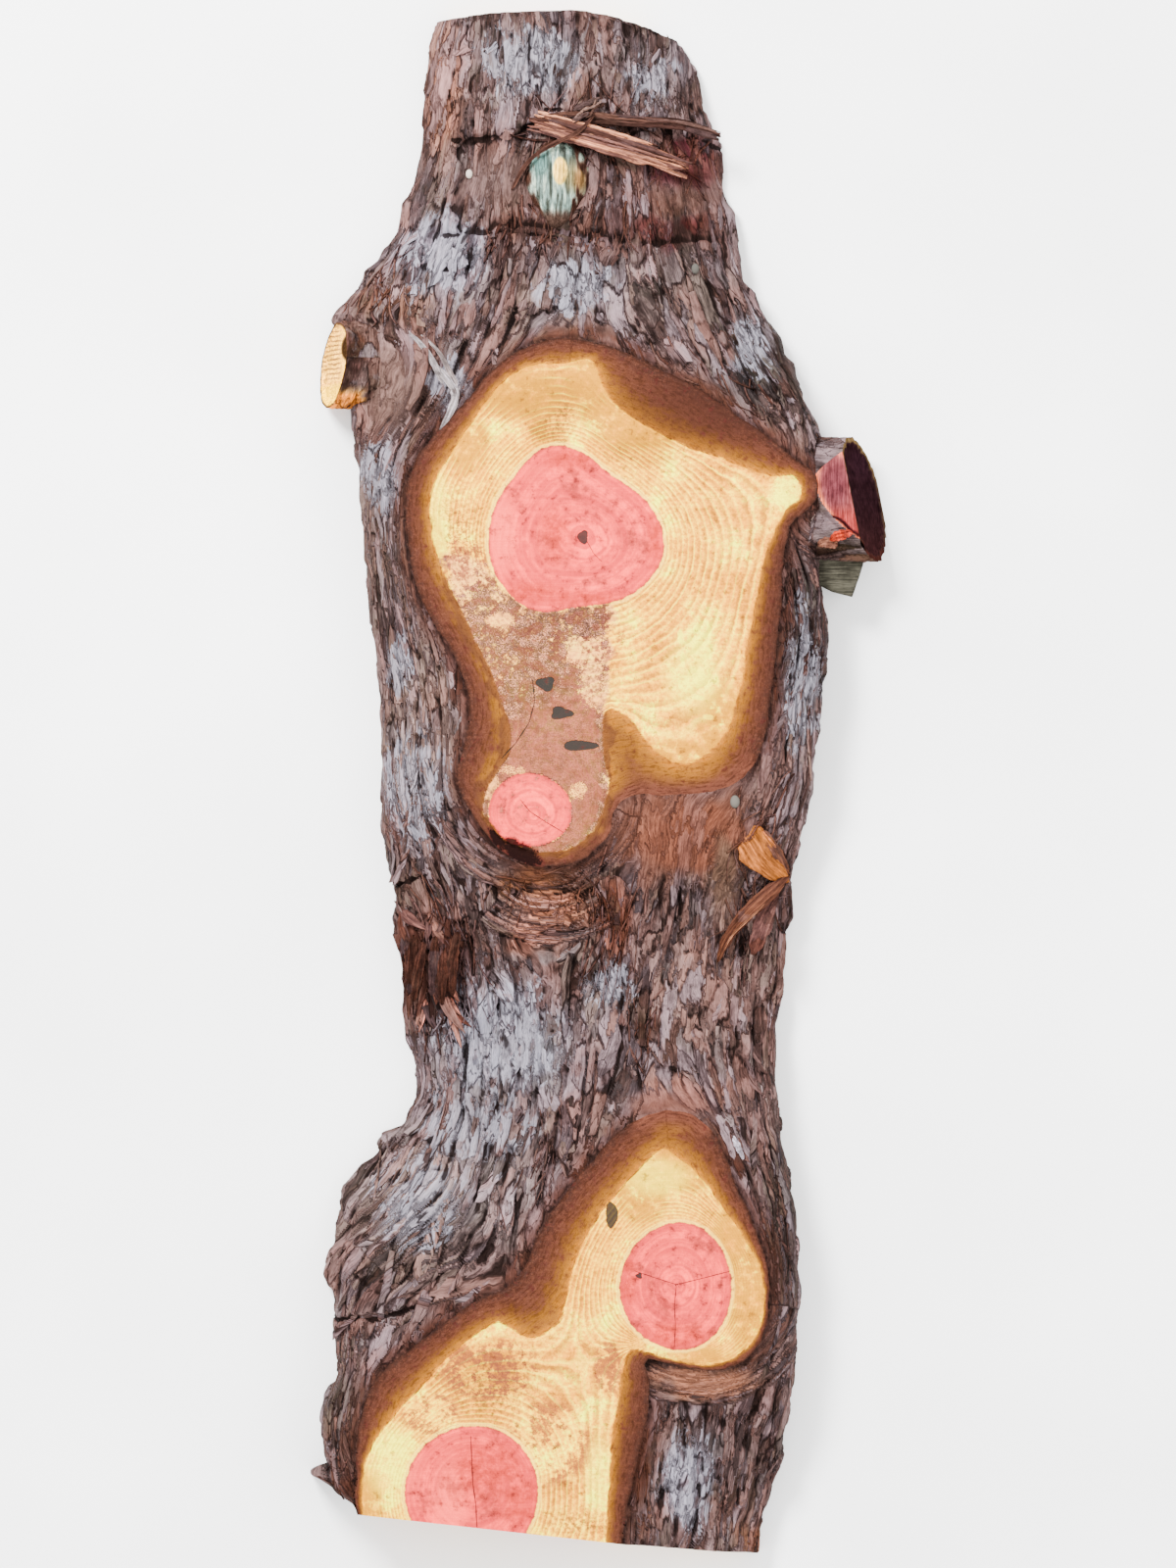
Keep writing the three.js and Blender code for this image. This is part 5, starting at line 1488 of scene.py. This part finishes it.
def build_bundles(bark):
    steps, t = 200, np.linspace(0, 1, 26)
    for number, (line, count, spread, colours) in enumerate(BUNDLES):
        n = np.arange(count)[:, None]
        pick = picker(n, 1000 + number)
        start = 0.55 * pick(1) * (pick(2) < 0.7)
        stop = np.minimum(1, start + 0.35 + 0.65 * pick(3))
        at = (start + (stop - start) * t) * (steps - 1)
        x, y, z = (np.interp(at, np.arange(steps), values) for values in spline(line, steps).T)
        off = spread * (2 * pick(4) - 1) + 5.0 * (noise(at / 45 + 9 * n, 0 * at, 1003) - 0.5)
        z = z + 3.2 * (pick(5) - 0.6) - 0.3 * np.abs(off)
        z = z + 1.5 * (noise(at / 30 + 7 * n, 0 * at, 1004) - 0.5)
        slope = np.gradient(y, axis=1) / (np.gradient(x, axis=1) + 1e-6)
        centre = joined(planx(x - off * slope), plany(y + off), z)
        half = (0.6 + 1.5 * pick(6) ** 1.5) * np.minimum(1, np.minimum(0.35 + 4 * t, 0.3 + 4 * (1 - t)))
        points, faces, side, h = tubes(
            centre, 0 * centre + UP, half, 1.8 + 0 * half, FLAKE, 0.5, 0.1, 1005 + number,
        )
        values = {
            "flow": joined(side + 30 * n[..., None], at[..., None] * 0.7, 0),
            "tint": paint(colours)[(pick(7) * len(colours)).astype(int)][:, :, None],
            # Painted shade on the splinters' undersides
            "painted_shade": np.where(h < 0, 0.9, -0.3), "tone": 0.5, "fresh": 0.1, "pale": 0, "calm": 0.8,
        }
        add_piece(f"splinters_{number + 1}", points, faces, bark, values, False)


# Branch stubs: rings of points round an axis, more below the slab's front cut than along it

RIGHT_STUB = SimpleNamespace(
    side="right", way=1, seed=901, start=800, to=868, axis=509, high=40, rise=24,
    wide=48, tall=42, lean=0.38, skew=-0.2, flare=0.1,
)
LEFT_STUB = SimpleNamespace(
    side="left", way=-1, seed=931, start=440, to=355, axis=371, high=33, rise=26,
    wide=34, tall=32, lean=0.34, skew=-0.12, flare=0.2,
)
STUB_RINGS, BELOW_CUT, IN_CUT, CAP_RINGS = 57, 110, 40, 45


def leaning(stub, y, z):
    """How far a stub's sawn end leans outwards, by place."""
    return stub.lean * (THICKNESS - z) + stub.skew * (y - plany(stub.axis))


def past_bark(x, y):
    """How far outside the bark's edge on the right stub's sawn top a point lies."""
    return x - planx(831) - 0.016 * (y - plany(491)) ** 2


def stub_angles(cut):
    over = np.pi - 2 * cut
    below = np.linspace(0, 1, BELOW_CUT)
    inner = np.linspace(0, 1, IN_CUT + 2)[1:-1]
    return np.concatenate([cut + over + (2 * np.pi - over) * below, cut + over * inner], axis=1)


def stub_points(stub):
    """A stub's points, its flow coordinates, how far its bark stands out, and its tone."""
    t = np.linspace(0, 1, STUB_RINGS)[:, None]
    swell = 1 + stub.flare * (1 - t) ** 2
    middle = stub.high - stub.rise * (1 - t)
    angle = stub_angles(np.arcsin(np.clip((THICKNESS - middle) / (stub.tall * swell), -1, 0.992)))
    along = (planx(stub.to) - planx(stub.start)) * t + 0 * angle
    u, v = (angle * 40, along) if stub.way > 0 else (along, angle * 40)
    high, tone = plates(u, v, 9, 30, stub.seed)
    relief = 2.6 * high + 1.4 * plates(u, v, 4, 22, stub.seed + 10)[0] - 1.6
    relief = relief + 1.2 * (rough(u / 6, v / 6, stub.seed + 20) - 0.5)
    k = np.arange(angle.shape[1])
    grow = relief * np.clip(np.minimum(k, BELOW_CUT - 1 - k) / 8, 0, 1)
    y = plany(stub.axis) + (stub.wide * swell + grow) * np.cos(angle)
    z = np.clip(middle + (stub.tall * swell + grow) * np.sin(angle), 0, THICKNESS)
    x = planx(stub.start) + along + stub.way * t * leaning(stub, y, z)
    sunk = 0.3 + 7 * smooth(1.0, -5.0, past_bark(x, y)) if stub.way > 0 else 1.5
    return joined(x, y, np.minimum(z, THICKNESS - sunk)), u, v, grow, tone


def on_top(z):
    """Which squares between a stub's points lie in the slab's front cut."""
    beside = np.roll(z, -1, axis=1)
    return np.min([z[:-1], z[1:], beside[:-1], beside[1:]], axis=0) > THICKNESS - 0.7


def build_stub(stub, bark, base, layers):
    """Makes a stub's bark in some colours; gives its points and the faces of its sawn top."""
    points, u, v, grow, tone = stub_points(stub)
    faces = ring_faces(*points.shape[:2])[..., ::-stub.way]
    top = on_top(points[..., 2]) & (stub.way > 0)
    values = {
        "flow": joined(u, v, 0), "tint": blend(base, *layers(*sketch(points))), "tone": tone,
        # Painted shade in the hollows of the stub's bark
        "painted_shade": blurred(grow, 3) - grow, "fresh": 0.1, "pale": 0.1, "calm": 0.3,
    }
    add_piece(f"stub_{stub.side}_bark", points, faces[~top], bark, values)
    return points, faces[top]


def build_stub_end(stub, rim, weathered, paints):
    """The sawn end of a stub, in rings from its rim to its middle."""
    share = np.linspace(1, 0, CAP_RINGS)[:, None]
    middle_y, middle_z = plany(stub.axis), stub.high
    y, z = middle_y + (rim[:, 1] - middle_y) * share, middle_z + (rim[:, 2] - middle_z) * share
    sunk = 2.2 * smooth(0.93, 0.86, share) + 0.5 * noise(y / 1.3, z / 14, stub.seed + 30)
    x = planx(stub.to) + stub.way * (leaning(stub, y, z) - sunk * (share < 0.99))
    cap = joined(x, y, z)
    faces = ring_faces(*cap.shape[:2])[..., ::-stub.way]
    base, *layers = paints(cap, share + 0 * x, *sketch(cap))
    values = {"place": cap[..., [1, 0, 2]] if stub.way > 0 else cap, "tint": blend(base, *layers)}
    add_piece(f"stub_{stub.side}_end", cap, faces, weathered, values)


def right_end_paints(cap, share, x, y):
    rim = smooth(0.9, 0.95, share + 0.05 * (noise(cap[..., 1] / 3, cap[..., 2] / 3, 907) - 0.5))
    return (
        # The end's dark purple-browns are painted shade of a face turned from the light; the rim is bark
        # colour
        (80, 44, 52), (smooth(505, 560, y), (96, 54, 56)), (spot(x, y, 880, 470, 20, 30), (88, 50, 62)),
        (rim, (132, 106, 86)), (rim * smooth(500, 470, y), (172, 148, 110)),
        (rim * smooth(540, 560, y), (120, 66, 58)),
    )


def left_end_paints(cap, share, x, y):
    ripple = 0.5 + 0.5 * np.sin(2 * np.pi * (y + 2 * noise(x / 4, y / 12, 937)) / 4.8)
    stripes = smooth(0.6, 0.9, ripple) * smooth(350, 343, x) * smooth(392, 380, y) * smooth(326, 336, y)
    # Painted shade of a torn hollow in the stub's end
    hollow = spot(x, y, 359, 355, 16, 22)
    return (
        (252, 232, 180), (smooth(385, 400, y), (255, 236, 158)), (stripes * 0.6, (180, 140, 96)),
        (spot(x, y, 364, 398, 10, 22), (246, 184, 84)), (smooth(0.2, 0.5, hollow), (110, 76, 46)),
        (smooth(0.93, 0.98, share), (150, 112, 78)),
    )


def right_bark_layers(x, y):
    return [(smooth(535, 556, y) * 0.9, (146, 126, 104))]


def left_bark_layers(x, y):
    near_end = smooth(366, 352, x + 16 * (rough(y / 7, x / 12, LEFT_STUB.seed + 41) - 0.5))
    glow = smooth(376, 366, x + 12 * (rough(y / 4, x / 12, LEFT_STUB.seed + 43) - 0.5)) * smooth(392, 404, y)
    # Painted shade of the torn hollow beside the stub's end
    hollow = smooth(0.1, 0.5, spot(x, y, 362, 360, 18, 30))
    return (near_end, (120, 88, 70)), (hollow, (78, 52, 40)), (glow, (250, 218, 156))


def build_stub_top(points, faces, weathered):
    """The right stub's part of the slab's front cut."""
    x, y = sketch(points)
    inwards = past_bark(points[..., 0], points[..., 1])
    cracks = to_line(x, y, [(845, 527), (852, 529), (860, 534), (868, 543), (882, 550)])
    tint = blend(
        (206, 138, 138), (spot(x, y, 852, 494, 22, 40), (172, 104, 112)),
        (smooth(512, 530, y), (214, 124, 120)), (smooth(5.5, 1.0, inwards), (238, 180, 150)),
        (smooth(2.4, 0.8, cracks), (96, 34, 40)), (spot(x, y, 858, 462, 8, 10), (240, 186, 168)),
    )
    values = {"place": points[..., [1, 0, 2]], "tint": tint}
    add_piece("stub_right_top", points, faces, weathered, values)


def build_stubs(bark, weathered):
    base = (158, 134, 128)
    points, top = build_stub(RIGHT_STUB, bark, base, right_bark_layers)
    build_stub_top(points, top, weathered)
    build_stub_end(RIGHT_STUB, points[-1], weathered, right_end_paints)
    points, _ = build_stub(LEFT_STUB, bark, base, left_bark_layers)
    build_stub_end(LEFT_STUB, points[-1], weathered, left_end_paints)


def build_splinter(weathered):
    """The broken piece of wood below the right stub."""
    outline = [(824, 566), (884, 566), (877, 590), (870, 609), (850, 604), (832, 594), (824, 566)]
    k = np.linspace(0, 6, 97)[:-1]
    ring_x, ring_y = (np.interp(k, range(7), values) for values in zip(*outline))
    low, high = 6, 40
    t = np.linspace(0, 1, 18)[:, None]
    z = low + (high - low) * t + 0 * k
    grow = (0.9 + 0.1 * t) * (1 + 0.03 * (noise(2.2 * k + 0 * z, z / 30, 951) - 0.5))
    wall = joined(planx(855 + (ring_x - 855) * grow), plany(585 + (ring_y - 585) * grow), z)
    share = np.linspace(1, 0, 16)[:, None, None]
    under, over = (np.array([planx(855), plany(585), level]) for level in (low, high))
    top = over + (wall[-1] - over) * share
    uneven = 1.3 * (noise(top[..., 1] / 1.6, top[..., 0] / 26, 961) - 0.5)
    top[..., 2] = high + uneven * (share[..., 0] < 0.98)
    points = np.concatenate([under + (wall[0] - under) * share[::-1], wall[1:-1], top])
    faces = ring_faces(*points.shape[:2])[..., ::-1]
    values = {"place": points, "tint": paint((130, 126, 112))}
    add_piece("splinter", points, faces, weathered, values)


def build_knot(weathered):
    """The grey knot in the torn bark at the top."""
    sides, rings = 160, 64
    angle = 2 * np.pi * np.arange(sides) / sides
    r = np.linspace(1.2, 0.0, rings)[:, None]
    edge = 1 + 0.12 * (rough(np.cos(angle) * 3 + 9, np.sin(angle) * 3 + 9, 975) - 0.5)
    down = np.clip(-np.sin(angle), 0, 1)
    x = 23 * r * np.cos(angle) * edge * (1 - 0.3 * down)
    y = r * np.sin(angle) * edge * np.where(np.sin(angle) > 0, 30, 35)
    ridges = rough(x / 2.6 + 60, y / 26 + 60, 981)
    uneven = 5 * (rough(x / 12 + 40, y / 18 + 40, 971) - 0.5) + 5 * (ridges - 0.5)
    z = np.interp(r, [0, 0.5, 0.8, 1.0, 1.2], [57, 56.5, 54, 48, 38]) + uneven * smooth(1.2, 0.9, r)
    points = joined(planx(569) + x, plany(183) + y, z)
    ragged = 0.5 * (noise(x / 3 + 70, y / 9 + 70, 995) - 0.5)
    tint = blend(
        (180, 194, 188),
        (smooth(0.5, 0.66, ridges), (216, 222, 214)), (smooth(0.46, 0.34, ridges), (128, 134, 124)),
        (spot(x, y, -14, 14, 12, 18) * 0.8, (150, 180, 174)),
        (spot(x, y, 12, 2, 12, 18) * 0.7, (216, 202, 162)),
        (smooth(0.3, 0.6, spot(x, y, 2, 6, 9, 17)), (242, 230, 182)),
        (spot(x, y, 18, 0, 8, 16) * 0.7, (190, 146, 96)), (smooth(0.86, 1.05, r + ragged), (122, 84, 70)),
        (smooth(-22, -32, y + 8 * ragged), (140, 112, 100)),
    )
    values = {"place": points[..., [1, 0, 2]], "tint": tint}
    add_piece("top_knot", points, ring_faces(rings, sides), weathered, values)


# Small beads on the bark: sketch x and y, size and colour
BEADS = [
    (478, 176, 3.0, (225, 220, 215)), (709, 274, 3.4, (150, 146, 140)), (750, 818, 4.2, (170, 165, 158)),
]


def build_beads(weathered):
    for n, (x, y, size, rgb) in enumerate(BEADS):
        at = on_bark(*np.array([x, y, 1.0])[:, None, None])[0][0, 0] / 1000
        bpy.ops.mesh.primitive_uv_sphere_add(segments=24, ring_count=16, radius=size / 1000, location=at)
        bead = bpy.context.object
        bead.name = f"bead_{n + 1}"
        bead.scale = (0.9, 1.2, 0.8)
        bpy.ops.object.transform_apply(location=True, rotation=False, scale=True)
        for key, value in (("place", (0, 0, 0)), ("tint", paint(rgb))):
            field = bead.data.attributes.new(key, "FLOAT_VECTOR", "POINT")
            field.data.foreach_set("vector", np.tile(value, len(bead.data.vertices)).astype(np.float32))
        bead.data.polygons.foreach_set("use_smooth", [True] * len(bead.data.polygons))
        bead.data.materials.append(weathered)
        ship(bead)


# Stage: floor, light and camera

def build_stage():
    s = Shader("floor")
    place = s.node("ShaderNodeTexCoord", {}, "Object")
    shade = s.ramp(s.noise(place, 3.0, 2), (0.3, (240, 240, 240)), (0.7, (243, 243, 243)))
    s.finish(shade, 0.9, s.noise(place, 60.0), 0.0002, 0.02)
    bpy.ops.mesh.primitive_plane_add(size=12, location=(0, 0, -0.0005))
    floor = bpy.context.object
    floor.name = "floor"
    floor.data.materials.append(s.material)
    floor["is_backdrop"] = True
    world = bpy.data.worlds.new("studio")
    world.use_nodes = True
    background = world.node_tree.nodes["Background"]
    background.inputs["Color"].default_value = (1, 1, 1, 1)
    background.inputs["Strength"].default_value = 3.3
    bpy.context.scene.world = world
    lamps = [("key", (-1.3, 1.9, 2.5), 0.9, 458), ("fill", (2.2, -0.8, 2.4), 2.4, 76)]
    for name, place, size, power in lamps:
        lamp = bpy.data.lights.new(name, "AREA")
        lamp.energy, lamp.size = power, size
        turn = (-Vector(place)).to_track_quat("-Z", "Y").to_euler()
        add_to_scene(name, lamp, place, turn)
    camera = bpy.data.cameras.new("camera")
    camera.sensor_width = 36
    camera.lens = 36 * 5.0 / (1600 * PITCH / 1000)
    bpy.context.scene.camera = add_to_scene("camera", camera, (planx(600) / 1000, plany(800) / 1000, 5.05))


def add_to_scene(name, data, location, turn=(0, 0, 0)):
    holder = bpy.data.objects.new(name, data)
    holder.location, holder.rotation_euler = location, turn
    bpy.context.scene.collection.objects.link(holder)
    return holder


def build():
    bark, sawn, weathered = bark_material(), wood_material(), weathered_material()
    surface, points = build_front(bark, sawn)
    build_back(surface, points, sawn)
    build_end("top_end", 0, surface, points, sawn)
    build_end("foot_end", -1, surface, points, sawn)
    build_stubs(bark, weathered)
    build_splinter(weathered)
    build_knot(weathered)
    build_flakes(bark)
    build_laths(bark)
    build_fibres(bark)
    build_ribbons(bark)
    build_bundles(bark)
    build_beads(weathered)
    build_stage()


build()
boxes = {"cad": CAD_BOX, "looks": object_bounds()}
{key: [[float(c) for c in corner] for corner in box] for key, box in boxes.items()}
